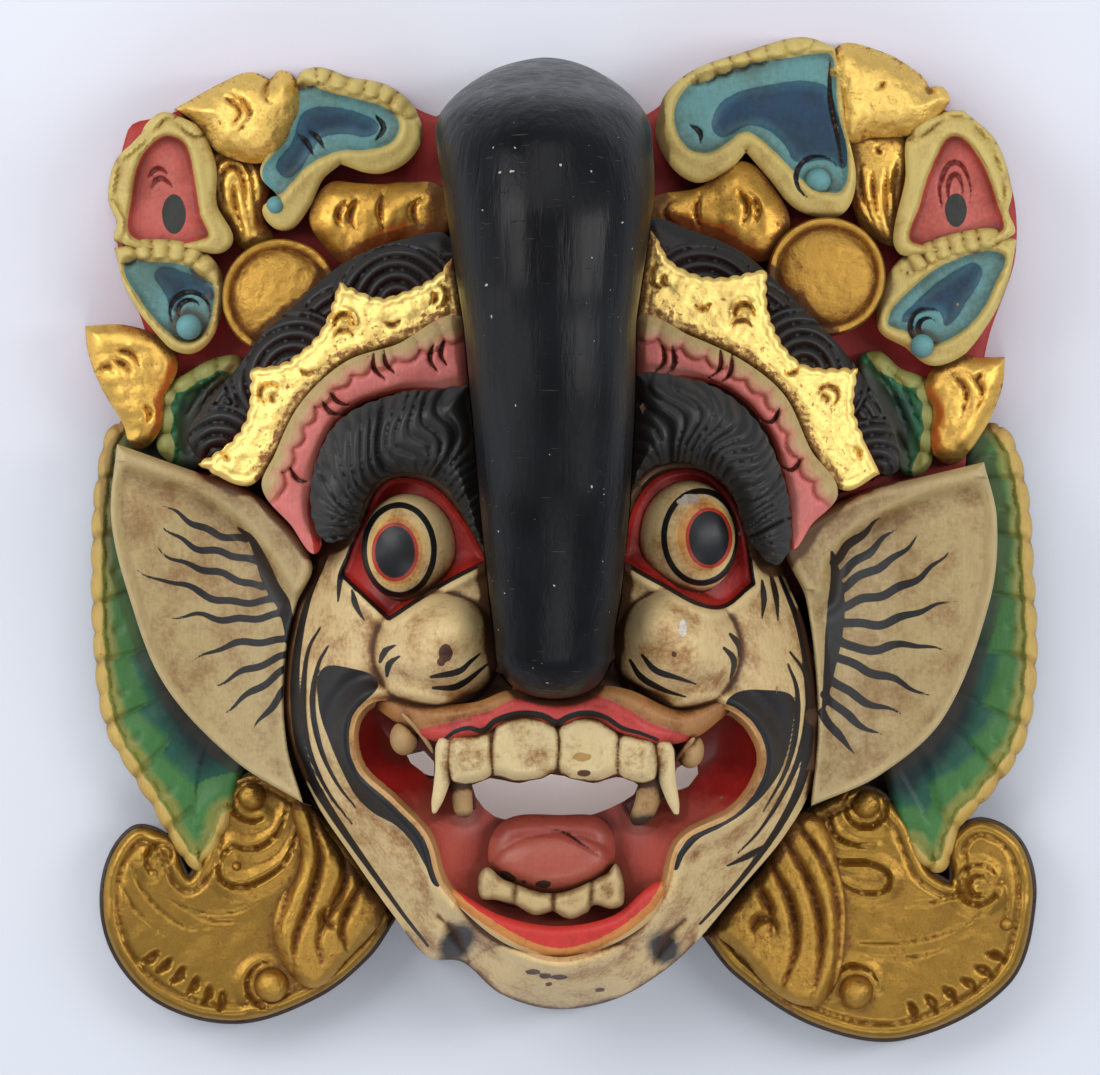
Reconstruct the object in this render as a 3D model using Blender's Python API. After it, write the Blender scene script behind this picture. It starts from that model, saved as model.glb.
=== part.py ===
"""Carved and painted wooden mask of a trunked mythical animal, lying on its back.

The mask is one carved block: a face with ears and a toothed mouth, a crown of leaves,
a ruff at each side and two scroll leaves below. The back is hollow. The trunk is a second
piece of wood that lies in a seat cut down the middle of the block.

Every form is drawn as an outline on one drawing, in drawing units, u to the right and v
downwards. The drawing shows the mask as it looks from a fixed height straight above its
back, so a point that stands higher is drawn larger. Forms are laid on the block one after
the other, and each says how high the wood stands inside its outline.
"""

import math

import bmesh
import bpy
import numpy as np
from mathutils.geometry import delaunay_2d_cdt

# Driving sizes. Heights are in millimetres above the back.
MASK_LENGTH = 432.15    # from the crown's highest leaf to the end of the scroll leaves
DRAWN_LENGTH = 1005.0   # the same length on the drawing, in drawing units
UNIT = MASK_LENGTH / DRAWN_LENGTH      # millimetres of one drawing unit, at the back
SIGHT = 1500.0          # height from which the drawing is seen
AXIS = (550.0, 537.5)   # drawing point straight below the eye
ORIGIN = (561.7, 539.5)   # drawing point of the middle of the back

BACKING_TOP = 24.0      # plain wood behind the ears and the ruff
GROUND = 28.0           # red ground between the crown's leaves
LEAF = 52.0             # rims of the crown's leaves
LEAF_SINK = 6.0         # depth of a leaf's core below its rim
DISC = 58.0             # gold discs
FLOWER = 56.0           # gold flowers beside the trunk
TIP_LEAF = 46.0         # gold leaf tips at the temples
GREEN_LEAF = 40.0       # green leaves behind the crown's band
RUFF = 31.0             # ruff below the ears
SCROLL = 28.0           # plain gold of the scroll leaves
SCROLL_RELIEF = 9.0     # height of the curls on the scroll leaves
CROWN_HAIR = 78.0       # black hair behind the gold band
GOLD_BAND = 100.0       # gold band across the forehead
PINK_BAND = 108.0       # pink band below it
BROW_HAIR = 127.0       # black hair over the eyes
LOCK_DEPTH = 3.0        # grooves between the locks
BAND_FALL = 15.0        # how far the bands drop from the trunk to the temple
BAND_FROM = 90.0        # where they begin to drop, in drawing units from the middle
BAND_RUN = 260.0        # and the width over which they do
EAR_ROOT = 76.0         # ear beside the face
EAR_HOLLOW = 55.0       # lowest part of the ear's dish
EAR_EDGE = 62.0         # outer edge of the ear
EAR_FROM = 235.0        # the ear's root, in drawing units from the middle
EAR_RUN = 205.0         # and its width from there
FACE_EDGE = 64.0        # cheek at the face's outline
FACE_TOP = 108.0        # flat of the cheeks
FACE_ROUND = 38.0       # width over which the cheek rounds down to its outline
MUZZLE_RISE = 32.0      # muzzle bulbs above the cheeks
EYE_SINK = 5.0          # red of the lids below the cheeks
EYE_RISE = 14.0         # eyeballs above the lids
EYE_ROUND = 22.0        # width over which they round off
EYE_POWER = 0.5
LIP = 130.0             # upper lip
TOOTH = 126.0           # upper teeth
FANG = 121.0            # upper fangs
TUSK = 112.0            # lower tusks
MOUTH_RIM = 102.0       # red inside of the mouth at its rim
MOUTH_FLOOR = 86.0      # and beside the opening
MOUTH_SLOPE = 26.0      # width over which it falls
TONGUE = 103.0
LOWER_TOOTH = 110.0
LOWER_LIP = 108.0
TRUNK_SEAT = 105.0      # seat of the trunk between the eyes
TRUNK_AXIS = 148.0      # middle of the trunk between the eyes
TRUNK_GAP = 0.35        # clearance of the trunk in its seat
HOLLOW = 74.0           # deepest part of the hollow back
WALL = 13.0             # least wood between the hollow and the face

# How fine the solids are, in drawing units.
NEARBY = 60.0           # how far outside an outline a distance is still measured
STEP = 20.0             # along outlines
FINE_STEP = 13.0        # along small outlines
GRID = 34.0             # inside the forms
FINE_GRID = 17.0        # on the muzzle and the eyes
BACK_GRID = 48.0        # inside the hollow back
WALL_RUN = 3.0          # how far a step in the carving leans outwards
SMALLEST_STEP = 2.4     # outlines with a lower step than this many millimetres are left out
MERGE = 0.05            # points nearer than this are one

# Outlines. A third value marks a sharp corner.
BLUE_LEAVES = (
    [(298, 76), (318, 67), (350, 77), (385, 84), (412, 104), (420, 128), (408, 156), (378, 170),
     (340, 160, 1), (320, 177), (306, 206), (285, 227), (266, 210), (282, 198), (264, 172),
     (282, 144), (297, 110)],
    [(835, 47, 1), (802, 37), (750, 50), (690, 72), (661, 103), (663, 146), (693, 178),
     (725, 168), (746, 146, 1), (770, 174), (800, 207), (838, 212), (852, 180), (842, 125)],
)
BLUE_CORES = (
    [(304, 100), (340, 103), (375, 116), (380, 136), (345, 140), (318, 152), (296, 180),
     (280, 170), (292, 140)],
    [(822, 82), (780, 84), (735, 96), (712, 118), (722, 138), (748, 127), (778, 140),
     (800, 172), (832, 178), (832, 130)],
)
GOLD_CAPS = (
    [(174, 109, 1), (198, 96), (225, 81), (250, 72), (270, 79, 1), (282, 70), (297, 82),
     (294, 118), (268, 157), (222, 150), (200, 124)],
    [(836, 48), (880, 51), (920, 74), (930, 88, 1), (943, 87), (949, 103), (914, 130),
     (870, 134), (846, 138), (840, 100)],
)
FLUTED_CURLS = (
    [(210, 158), (240, 153), (266, 176), (250, 200), (264, 240), (236, 233), (213, 194)],
    [(848, 142), (895, 136), (911, 150), (904, 222), (893, 240), (862, 228), (852, 175)],
)
RED_LEAVES = (
    [(146, 124), (165, 112), (196, 130), (212, 165), (213, 205), (227, 245), (180, 243),
     (116, 242), (117, 222, 1), (108, 198), (116, 160), (143, 135, 1)],
    [(912, 135), (940, 114), (963, 110, 1), (996, 141), (1012, 190), (1008, 211, 1),
     (1013, 235), (960, 241), (905, 252), (897, 238), (909, 180)],
)
RED_CORES = (
    [(168, 135), (190, 156), (198, 200), (208, 235), (135, 238), (134, 190), (148, 146)],
    [(954, 137), (982, 160), (997, 205), (996, 230), (916, 242), (922, 196), (940, 148)],
)
SMALL_BLUE_LEAVES = (
    [(114, 248, 1), (150, 243), (195, 250), (219, 278), (213, 328), (190, 350), (158, 334),
     (128, 294)],
    [(881, 325), (892, 276), (922, 249), (985, 232), (1017, 240, 1), (1005, 292), (975, 340),
     (935, 362), (907, 344)],
)
SMALL_BLUE_CORES = (
    [(150, 267), (190, 272), (214, 286), (207, 318), (180, 330), (160, 300)],
    [(980, 264), (940, 270), (905, 300), (900, 328), (935, 348), (960, 316)],
)
TIP_LEAVES = (
    [(85, 326, 1), (125, 325), (160, 338), (174, 364), (161, 398), (157, 428), (136, 446),
     (122, 422), (100, 385), (88, 352)],
    [(929, 384), (948, 361), (1005, 357, 1), (1002, 388), (984, 430), (958, 460), (937, 452),
     (936, 408)],
)
GREEN_LEAVES = (
    [(243, 358), (215, 358), (190, 371), (161, 392), (158, 425), (160, 454), (196, 470),
     (206, 450), (192, 428), (225, 386)],
    [(857, 362), (878, 351), (900, 368), (928, 382), (937, 430), (927, 470), (902, 474),
     (886, 420)],
)
FLOWERS = (
    [(313, 216), (330, 187), (358, 187), (384, 188), (405, 186), (441, 192), (441, 235),
     (400, 240), (351, 262), (324, 240)],
    [(652, 202), (700, 191), (741, 165), (772, 192), (786, 228), (761, 258), (711, 236),
     (652, 222)],
)
DISCS = ((280, 297, 56), (827, 276, 57))
DISC_RIM = 9.0

CROWN_HAIRS = (
    [(450, 238), (400, 240), (345, 262), (300, 300), (262, 335), (240, 364), (205, 405),
     (188, 436), (202, 458), (245, 440), (300, 400), (380, 330), (455, 300)],
    [(648, 222), (690, 230), (742, 252), (790, 295), (830, 335), (864, 378), (890, 425),
     (900, 466), (885, 475), (850, 450), (790, 380), (720, 320), (648, 290)],
)
GOLD_BANDS = (
    [(460, 256), (437, 276), (405, 292), (378, 298), (340, 283, 1), (320, 333), (284, 363),
     (251, 369, 1), (248, 415), (230, 443), (198, 464, 1), (246, 486), (272, 462), (297, 412),
     (345, 362), (395, 345), (460, 318)],
    [(646, 232), (672, 263), (711, 278), (766, 270, 1), (769, 316), (800, 363),
     (857, 369, 1), (854, 412), (880, 474, 1), (842, 490), (811, 450), (785, 396), (745, 362),
     (691, 336), (640, 318)],
)
PINK_BANDS = (
    [(464, 318), (395, 345), (345, 362), (300, 404), (274, 456), (262, 488), (290, 524),
     (318, 552), (312, 500), (340, 420), (399, 393), (474, 394)],
    [(636, 318), (691, 336), (745, 362), (785, 396), (811, 450), (838, 492), (812, 524),
     (790, 548), (785, 495), (765, 428), (715, 385), (630, 380)],
)
BROW_HAIRS = (
    [(474, 392), (432, 390), (399, 393), (340, 420), (314, 470), (312, 515), (326, 541),
     (352, 532), (374, 484), (412, 472), (446, 488), (486, 540)],
    [(630, 382), (690, 379), (735, 400), (768, 440), (790, 510), (780, 563), (750, 540),
     (728, 486), (690, 463), (650, 468), (626, 490)],
)
EARS = (
    [(117, 444, 1), (156, 458), (200, 473), (240, 485), (272, 508), (312, 563), (296, 606),
     (284, 670), (287, 745), (303, 803, 1), (234, 760), (164, 684), (128, 593), (111, 517)],
    [(784, 548), (798, 528), (862, 491), (913, 479), (984, 462, 1), (997, 520), (990, 600),
     (944, 717), (880, 775), (811, 806, 1), (818, 717), (806, 600)],
)
FACE = [
    (330, 470), (318, 545), (298, 595), (287, 667), (289, 735), (316, 802), (353, 858),
    (394, 916), (428, 957), (462, 962), (501, 994), (554, 1009), (613, 1000), (661, 973),
    (696, 942), (742, 887), (785, 835), (811, 786), (817, 715), (806, 630), (782, 565),
    (770, 470), (680, 400), (560, 380), (430, 390),
]
RUFFS = (
    [(118, 422), (97, 479), (92, 560), (95, 657), (106, 728), (134, 778), (156, 812),
     (182, 858), (204, 868), (236, 800), (250, 700), (180, 560), (165, 440)],
    [(1000, 425), (1026, 479), (1034, 568), (1038, 672), (1024, 745), (988, 797), (964, 822),
     (937, 872), (900, 830), (880, 700), (960, 560), (965, 440)],
)
SCROLLS = (
    [(250, 771), (212, 802), (200, 850), (189, 874, 1), (168, 834), (130, 827), (101, 880),
     (110, 950), (158, 1004), (238, 1024), (318, 998), (370, 957), (398, 916, 1), (340, 830),
     (290, 780)],
    [(815, 803), (868, 785), (906, 815), (930, 866), (949, 880, 1), (950, 838), (982, 817),
     (1024, 843), (1036, 905), (1008, 986), (905, 1040), (815, 1027), (735, 976),
     (702, 936, 1), (750, 875), (790, 825)],
)
SCROLL_LEAVES = (
    [(296, 800), (330, 836), (366, 884), (386, 908), (345, 962), (312, 988), (282, 962),
     (274, 915), (300, 860)],
    [(806, 812), (840, 872), (843, 960), (820, 1004), (780, 996), (735, 950), (716, 928),
     (760, 872)],
)
SCROLL_CURLS = (
    [(262, 776), (226, 800), (224, 828), (262, 832), (222, 862), (238, 886), (282, 864),
     (302, 820), (288, 790)],
    [(862, 787), (896, 806), (884, 840), (850, 850), (886, 858), (880, 892), (838, 892),
     (812, 850), (822, 806)],
)
SCROLL_EYES = ((262, 982, 24), (856, 992, 26))
MUZZLES = ((437, 652, 64, 60), (677, 650, 64, 62))
EYES = (
    [(343, 574, 1), (360, 530), (386, 482), (430, 484), (464, 520), (486, 560, 1), (440, 584),
     (389, 617, 1)],
    [(622, 560, 1), (634, 505), (662, 474), (705, 473), (738, 510), (752, 583, 1), (716, 606),
     (655, 579)],
)
EYEBALLS = ((409, 548, 48, 55), (688, 538, 50, 58))
MOUTH = [
    (379, 701), (356, 722), (360, 765), (395, 800), (428, 836), (446, 886), (500, 934),
    (556, 957), (614, 940), (660, 896), (680, 840), (735, 808), (761, 765), (750, 727),
    (718, 708), (655, 722), (556, 700), (455, 715),
]
UPPER_LIP = [
    (376, 684), (425, 703), (475, 702), (512, 690), (560, 700), (600, 686), (630, 690),
    (680, 712), (722, 704), (695, 728), (660, 739), (620, 729), (590, 715), (550, 721),
    (520, 714), (485, 730), (447, 738), (405, 716),
]
UPPER_TEETH = [
    (447, 736), (478, 728), (505, 716), (550, 720), (598, 716), (639, 732), (656, 742),
    (656, 777), (628, 779), (598, 781), (550, 772), (520, 781), (490, 776), (451, 779),
]
FANGS = (
    [(441, 737), (450, 745), (444, 790), (432, 814, 1), (429, 800), (435, 765)],
    [(657, 740), (672, 740), (672, 782), (679, 814, 1), (664, 802), (657, 775)],
)
TUSKS = (
    [(452, 776), (470, 776), (478, 812), (462, 818), (453, 806)],
    [(636, 778), (656, 780), (662, 808), (646, 830), (620, 812)],
)
CHEEK_TEETH = ((407, 737, 15), (690, 749, 13))
TONGUE_OUTLINE = [
    (502, 822), (490, 866), (527, 889), (554, 893), (581, 888), (612, 868), (606, 822),
    (560, 815),
]
LOWER_TEETH = [
    (484, 868), (505, 880), (554, 893), (606, 874), (617, 864), (624, 902), (596, 910),
    (568, 918), (548, 907), (526, 914), (480, 896),
]
LOWER_LIP_OUTLINE = [
    (440, 884), (500, 921), (556, 936), (612, 922), (668, 880), (652, 918), (600, 950),
    (556, 958), (506, 944), (458, 906),
]
CROWN_GROUND = [
    (128, 130), (165, 116), (215, 96), (300, 80), (395, 100), (450, 118), (520, 90),
    (580, 90), (634, 118), (690, 82), (780, 50), (870, 56), (945, 110), (1003, 165),
    (1016, 250), (988, 340), (975, 420), (960, 520), (800, 600), (560, 560), (300, 600),
    (150, 500), (118, 440), (150, 360), (145, 330), (118, 250),
]

BACKING = [
    (150, 480), (150, 640), (168, 760), (172, 850), (192, 888), (250, 880), (330, 868),
    (400, 925), (470, 960), (640, 960), (700, 928), (780, 872), (880, 880), (944, 894),
    (958, 850), (955, 760), (985, 620), (985, 480), (800, 420), (560, 400), (330, 420),
]

HOLLOW_MIDDLE = np.array((552.0, 630.0))
HOLLOW_REACH = np.array((208.0, 290.0))
HOLLOW_POWER = 0.38     # a low power gives the hollow steep sides
HOLLOW_RINGS = (1.0, 0.93, 0.78)

# Openings through the mouth.
MOUTH_HOLES = (
    [(472, 785), (494, 816), (530, 819), (582, 817), (624, 801), (638, 785), (616, 777),
     (594, 783), (550, 774), (520, 783), (490, 778)],
    [(407, 755), (424, 751), (434, 762), (434, 778), (420, 770)],
    [(677, 768), (697, 763), (698, 774), (678, 790)],
)

# The trunk, as stations down the drawing: v, middle, half width.
TRUNK_STATIONS = ((130, 543, 109), (190, 549, 106), (238, 549, 99), (323, 550, 86),
                  (400, 553, 82), (500, 555, 75), (600, 555, 65), (640, 554, 59))
TRUNK_TOP = 57.0
TRUNK_TIP = 698.0
TOP_ROUND = 1.6         # power of the curve that closes the top
TIP_ROUND = 2.5         # and the tip
# Height of the trunk's middle against its height between the eyes, down the drawing.
TRUNK_RISE = ((57, -92), (80, -62), (110, -33), (150, -14), (220, -3), (300, 2), (400, 2),
              (500, 0), (600, -6), (660, -11), (698, -18))
# Height of the seat against its height between the eyes.
SEAT_RISE = ((57, -77), (110, -66), (150, -55), (240, -45), (300, -30), (360, -10), (400, 0),
             (500, 0), (600, 7), (698, 13))
LEAST_TRUNK = 4.0       # least thickness of the trunk at its ends
TRUNK_ROWS = 17         # rows of points down the trunk
TRUNK_SPREAD = (0.0, 0.05, 0.16, 0.32, 0.5, 0.68, 0.84, 0.95, 1.0)   # and places across it
END_ROWS = 5            # closer rows where each end turns
ROW_CLEAR = 12.0        # rows keep this far from the seat's own lines

# Ridges and grooves of the brow hair: the middle of each fan, and its first and last turn.
LOCKS = ((409, 540, 195, 292), (690, 530, 248, 350))
LOCK_COUNT = 17
LOCK_REACH = (70.0, 165.0)
LOCK_CLEAR = 7.0        # they stop this far inside the hair's outline

MASK_PAINT = (0.62, 0.47, 0.25)
TRUNK_PAINT = (0.02, 0.022, 0.025)


def smooth(points, step=STEP):
    """Points along a closed smooth curve through the given ones."""
    count = len(points)
    places = [np.array(point[:2], float) for point in points]
    found = []
    for i in range(count):
        before, here = places[i - 1], places[i]
        there, after = places[(i + 1) % count], places[(i + 2) % count]
        chord = np.linalg.norm(there - here)
        leave = there - here if len(points[i]) > 2 else there - before
        arrive = there - here if len(points[(i + 1) % count]) > 2 else after - here
        leave = leave / np.linalg.norm(leave) * chord
        arrive = arrive / np.linalg.norm(arrive) * chord
        pieces = max(1, round(chord / step))
        for t in np.arange(pieces) / pieces:
            found.append((2 * t**3 - 3 * t**2 + 1) * here + (t**3 - 2 * t**2 + t) * leave
                         + (3 * t**2 - 2 * t**3) * there + (t**3 - t**2) * arrive)
    return np.array(found)


def circle(u, v, radius, step=STEP):
    """Points round a circle."""
    count = max(10, round(2 * math.pi * radius / step))
    turn = np.arange(count) * 2 * math.pi / count
    return np.stack([u + radius * np.cos(turn), v + radius * np.sin(turn)], axis=1)


def ellipse(u, v, across, down, step=STEP):
    """Points round an ellipse."""
    round_loop = circle(0.0, 0.0, 1.0, step / max(across, down))
    return round_loop * (across, down) + (u, v)


def area(loop):
    """Signed area of a closed loop."""
    ahead = np.roll(loop, -1, axis=0)
    return 0.5 * float(np.sum(loop[:, 0] * ahead[:, 1] - loop[:, 1] * ahead[:, 0]))


def grown(loop, amount):
    """The loop moved outwards by an amount, or inwards where it is negative."""
    ahead = np.roll(loop, -1, axis=0) - loop
    ahead /= np.linalg.norm(ahead, axis=1)[:, None]
    behind = np.roll(ahead, 1, axis=0)
    along = ahead + behind
    length = np.linalg.norm(along, axis=1)[:, None]
    along = np.where(length > 0.5, along / np.maximum(length, 1e-9), ahead)
    out = np.stack([along[:, 1], -along[:, 0]], axis=1) * math.copysign(1.0, area(loop))
    return loop + out * amount


def inside(points, loop):
    """Distance from the loop in drawing units, positive inside it."""
    near = np.full(len(points), -1e3)
    low, high = loop.min(axis=0) - NEARBY, loop.max(axis=0) + NEARBY
    close = np.all((points > low) & (points < high), axis=1)
    if not close.any():
        return near
    p = points[close]
    best = np.full(len(p), 1e9)
    odd = np.zeros(len(p), bool)
    for a, b in zip(loop, np.roll(loop, -1, axis=0)):
        run = b - a
        t = np.clip(((p - a) @ run) / max(run @ run, 1e-12), 0.0, 1.0)
        best = np.minimum(best, np.linalg.norm(p - a - t[:, None] * run, axis=1))
        if a[1] != b[1]:
            crosses = (a[1] > p[:, 1]) != (b[1] > p[:, 1])
            odd ^= crosses & (p[:, 0] < a[0] + (p[:, 1] - a[1]) * run[0] / run[1])
    near[close] = np.where(odd, best, -best)
    return near


def within(points, lines):
    """Which points lie within the region that the lines bound."""
    odd = np.zeros(len(points), bool)
    for a, b in lines:
        if a[1] != b[1]:
            crosses = (a[1] > points[:, 1]) != (b[1] > points[:, 1])
            slope = (b[0] - a[0]) / (b[1] - a[1])
            odd ^= crosses & (points[:, 0] < a[0] + (points[:, 1] - a[1]) * slope)
    return odd


def ease(x):
    """Rises from 0 to 1 and rounds off at the top."""
    return 1.0 - (1.0 - np.clip(x, 0.0, 1.0)) ** 2


def mound(points, u, v, across, down, power=0.6):
    """A round rise of height 1 on an ellipse."""
    r = ((points[:, 0] - u) / across) ** 2 + ((points[:, 1] - v) / down) ** 2
    return np.clip(1.0 - r, 0.0, 1.0) ** power


def to_space(points, z):
    """Drawing points at heights in millimetres, as places in metres."""
    points = np.asarray(points, float)
    z = np.broadcast_to(np.asarray(z, float), (len(points),))
    shrink = 1.0 - z / SIGHT
    x = (points[:, 0] - AXIS[0]) * shrink + AXIS[0] - ORIGIN[0]
    y = (points[:, 1] - AXIS[1]) * shrink + AXIS[1] - ORIGIN[1]
    return np.stack([x * UNIT, -y * UNIT, z], axis=1) * 0.001


def trunk_edges(v):
    """Left and right edge of the trunk at places down the drawing."""
    stations = np.array(TRUNK_STATIONS, float)
    middle = np.interp(v, stations[:, 0], stations[:, 1])
    half = np.interp(v, stations[:, 0], stations[:, 2])
    first, last = stations[0, 0], stations[-1, 0]
    above = np.clip((first - v) / (first - TRUNK_TOP), 0.0, 1.0)
    below = np.clip((v - last) / (TRUNK_TIP - last), 0.0, 1.0)
    half = half * (1.0 - above**TOP_ROUND) ** (1.0 / TOP_ROUND)
    half = half * (1.0 - below**TIP_ROUND) ** (1.0 / TIP_ROUND)
    return middle - half, middle + half


def trunk_rows():
    """Rows of points across the trunk, closer together where its ends turn."""
    first, last = TRUNK_STATIONS[0][0], TRUNK_STATIONS[-1][0]
    turn = np.linspace(0.0, math.pi / 2, END_ROWS + 2)[1:-1]
    top = first - (first - TRUNK_TOP) * np.sin(turn)
    tip = last + (TRUNK_TIP - last) * np.sin(turn)
    levels = [row[0] for row in SEAT_RISE[1:-1]]
    middle = [v for v in np.linspace(first, last, TRUNK_ROWS)
              if min(abs(v - level) for level in levels) > ROW_CLEAR]
    down = np.unique(np.concatenate([top, levels, middle, tip]))
    rows = []
    for v, a, b in zip(down, *trunk_edges(down)):
        across = a + (b - a) * np.array(TRUNK_SPREAD)
        rows.append(np.stack([across, np.full(len(across), v)], axis=1))
    return rows


def trunk_loop():
    """The trunk's outline."""
    rows = trunk_rows()
    stations = TRUNK_STATIONS
    top, tip = [(stations[0][1], TRUNK_TOP)], [(stations[-1][1], TRUNK_TIP)]
    left, right = [row[0] for row in rows], [row[-1] for row in rows[::-1]]
    return np.array(top + left + tip + right)


def seat_height(points):
    """Height of the trunk's seat."""
    rise = np.array(SEAT_RISE, float)
    return TRUNK_SEAT + np.interp(points[:, 1], rise[:, 0], rise[:, 1])


def trunk_height(points):
    """Height of the trunk's upper side."""
    left, right = trunk_edges(points[:, 1])
    half = np.maximum((right - left) / 2, 1e-6)
    across = np.clip(np.abs(points[:, 0] - (left + right) / 2) / half, 0.0, 1.0)
    rise = np.array(TRUNK_RISE, float)
    axis = TRUNK_AXIS + np.interp(points[:, 1], rise[:, 0], rise[:, 1])
    return axis + half * UNIT * np.sqrt(1.0 - across**2)


def beside_trunk(points):
    """0 beside the trunk and 1 at the temples."""
    away = np.abs(points[:, 0] - AXIS[0])
    return np.clip((away - BAND_FROM) / BAND_RUN, 0.0, 1.5) ** 1.5


def raised(top, edge=0.0, width=1.0):
    """A form that stands at one height, lower by edge at its outline over a width."""
    def rule(z, d, points):
        return np.maximum(z, top - edge * (1.0 - ease(d * UNIT / width)))
    return rule


def sunk(depth):
    """A core below the form that it lies in."""
    def rule(z, d, points):
        return z - depth
    return rule


def band(top, crown=3.0, width=6.0):
    """A band over the forehead, which drops towards the temples."""
    def rule(z, d, points):
        edge = crown * (1.0 - ease(d * UNIT / width))
        return np.maximum(z, top - BAND_FALL * beside_trunk(points) - edge)
    return rule


def disc_rule(z, d, points):
    """A disc with a rim and a domed middle."""
    middle = ease((d - DISC_RIM) / 50.0) * 5.0 - 3.0
    return np.maximum(z, np.where(d > DISC_RIM, DISC + middle, DISC))


def ear_rule(z, d, points):
    """An ear: high at its root, dished, and turned up at its outer edge."""
    t = np.clip((np.abs(points[:, 0] - AXIS[0]) - EAR_FROM) / EAR_RUN, 0.0, 1.0)
    dish = EAR_ROOT + (EAR_HOLLOW - EAR_ROOT) * ease(t * 1.7)
    edge = (EAR_EDGE - EAR_HOLLOW) * np.clip((t - 0.55) / 0.45, 0.0, 1.0)
    rim = 3.0 * np.clip(1.0 - d * UNIT / 6.0, 0.0, 1.0)
    return np.maximum(z, dish + edge + rim)


def face_rule(z, d, points):
    """The cheeks, with the muzzle's two bulbs and the chin."""
    top = FACE_EDGE + (FACE_TOP - FACE_EDGE) * ease(d * UNIT / FACE_ROUND)
    for u, v, across, down in MUZZLES:
        top = top + MUZZLE_RISE * mound(points, u, v, across, down)
    return np.maximum(z, top)


def eyeball_rule(z, d, points):
    """An eyeball as a cap of an ellipsoid."""
    return z + EYE_RISE * np.clip(d * UNIT / EYE_ROUND, 0.0, 1.0) ** EYE_POWER


def mouth_rule(z, d, points):
    """The inside of the mouth, which falls towards the opening."""
    fall = (MOUTH_RIM - MOUTH_FLOOR) * ease(d * UNIT / MOUTH_SLOPE)
    return np.minimum(z, MOUTH_RIM - fall)


def seat_rule(z, d, points):
    """The seat of the trunk."""
    return seat_height(points)


def make_forms():
    """Every form of the block, in the order in which it is laid on."""
    forms = [(smooth(BACKING), raised(BACKING_TOP)), (smooth(CROWN_GROUND), raised(GROUND))]

    def add(outlines, rule, step=STEP):
        for outline in outlines:
            forms.append((smooth(outline, step), rule))

    add(RUFFS, raised(RUFF, 4.0, 6.0))
    add(SCROLLS, raised(SCROLL, 3.0, 4.0))
    add(SCROLL_LEAVES, raised(SCROLL + SCROLL_RELIEF, 4.0, 6.0))
    add(SCROLL_CURLS, raised(SCROLL + SCROLL_RELIEF, 3.0, 5.0))
    for u, v, radius in SCROLL_EYES:
        forms.append((circle(u, v, radius), raised(SCROLL + SCROLL_RELIEF, 4.0, 6.0)))
    add(GREEN_LEAVES, raised(GREEN_LEAF, 4.0, 6.0))
    add(RED_LEAVES, raised(LEAF, 3.0, 4.0))
    add(RED_CORES, sunk(LEAF_SINK))
    add(SMALL_BLUE_LEAVES, raised(LEAF - 2.0, 3.0, 4.0))
    add(SMALL_BLUE_CORES, sunk(LEAF_SINK))
    add(FLUTED_CURLS, raised(LEAF - 4.0, 6.0, 9.0))
    add(GOLD_CAPS, raised(LEAF + 6.0, 9.0, 14.0))
    add(BLUE_LEAVES, raised(LEAF + 2.0, 3.0, 4.0))
    add(BLUE_CORES, sunk(LEAF_SINK))
    for u, v, radius in DISCS:
        forms.append((circle(u, v, radius), disc_rule))
    add(FLOWERS, raised(FLOWER, 6.0, 10.0))
    add(CROWN_HAIRS, band(CROWN_HAIR, 4.0, 8.0))
    add(TIP_LEAVES, raised(TIP_LEAF, 5.0, 8.0))
    forms.append((smooth(FACE), face_rule))
    add(GOLD_BANDS, band(GOLD_BAND, 2.0, 3.0))
    add(PINK_BANDS, band(PINK_BAND, 3.0, 5.0))
    add(EARS, ear_rule)
    add(BROW_HAIRS, band(BROW_HAIR, 8.0, 12.0))
    add(EYES, sunk(EYE_SINK))
    for u, v, across, down in EYEBALLS:
        forms.append((ellipse(u, v, across, down), eyeball_rule))
    forms.append((smooth(MOUTH), mouth_rule))
    forms.append((smooth(TONGUE_OUTLINE), raised(TONGUE, 6.0, 8.0)))
    forms.append((smooth(LOWER_TEETH, FINE_STEP), raised(LOWER_TOOTH, 3.0, 3.0)))
    forms.append((smooth(LOWER_LIP_OUTLINE), raised(LOWER_LIP, 3.0, 4.0)))
    add(TUSKS, raised(TUSK, 4.0, 4.0), FINE_STEP)
    for u, v, radius in CHEEK_TEETH:
        forms.append((circle(u, v, radius), raised(TUSK, 4.0, 5.0)))
    forms.append((smooth(UPPER_LIP), raised(LIP, 5.0, 5.0)))
    forms.append((smooth(UPPER_TEETH, FINE_STEP), raised(TOOTH, 3.0, 5.0)))
    add(FANGS, raised(FANG, 3.0, 3.0), FINE_STEP)
    forms.append((grown(trunk_loop(), TRUNK_GAP / UNIT), seat_rule))
    return forms


def surface(points, forms):
    """Height of the carving at drawing points, and which points lie on the block."""
    z = np.zeros(len(points))
    solid = np.zeros(len(points), bool)
    for loop, rule in forms:
        d = inside(points, loop)
        here = d > -WALL_RUN / 2
        if here.any():
            z[here] = rule(z[here], np.maximum(d[here], 0.0), points[here])
        solid |= d > 0.0
    return z, solid


def lock_lines():
    """Ridges and grooves of the brow hair, as lines fanned round each eye."""
    lines = []
    for hair, (u, v, first, last) in zip(BROW_HAIRS, LOCKS):
        outline = smooth(hair, 8.0)
        for k, angle in enumerate(np.radians(np.linspace(first, last, LOCK_COUNT))):
            along = np.linspace(*LOCK_REACH, 7)
            ray = np.stack([u + along * np.cos(angle), v + along * np.sin(angle)], axis=1)
            ray = ray[inside(ray, outline) > LOCK_CLEAR]
            if len(ray) > 1:
                lines.append((ray, k % 2 == 1))
    return lines


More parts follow.
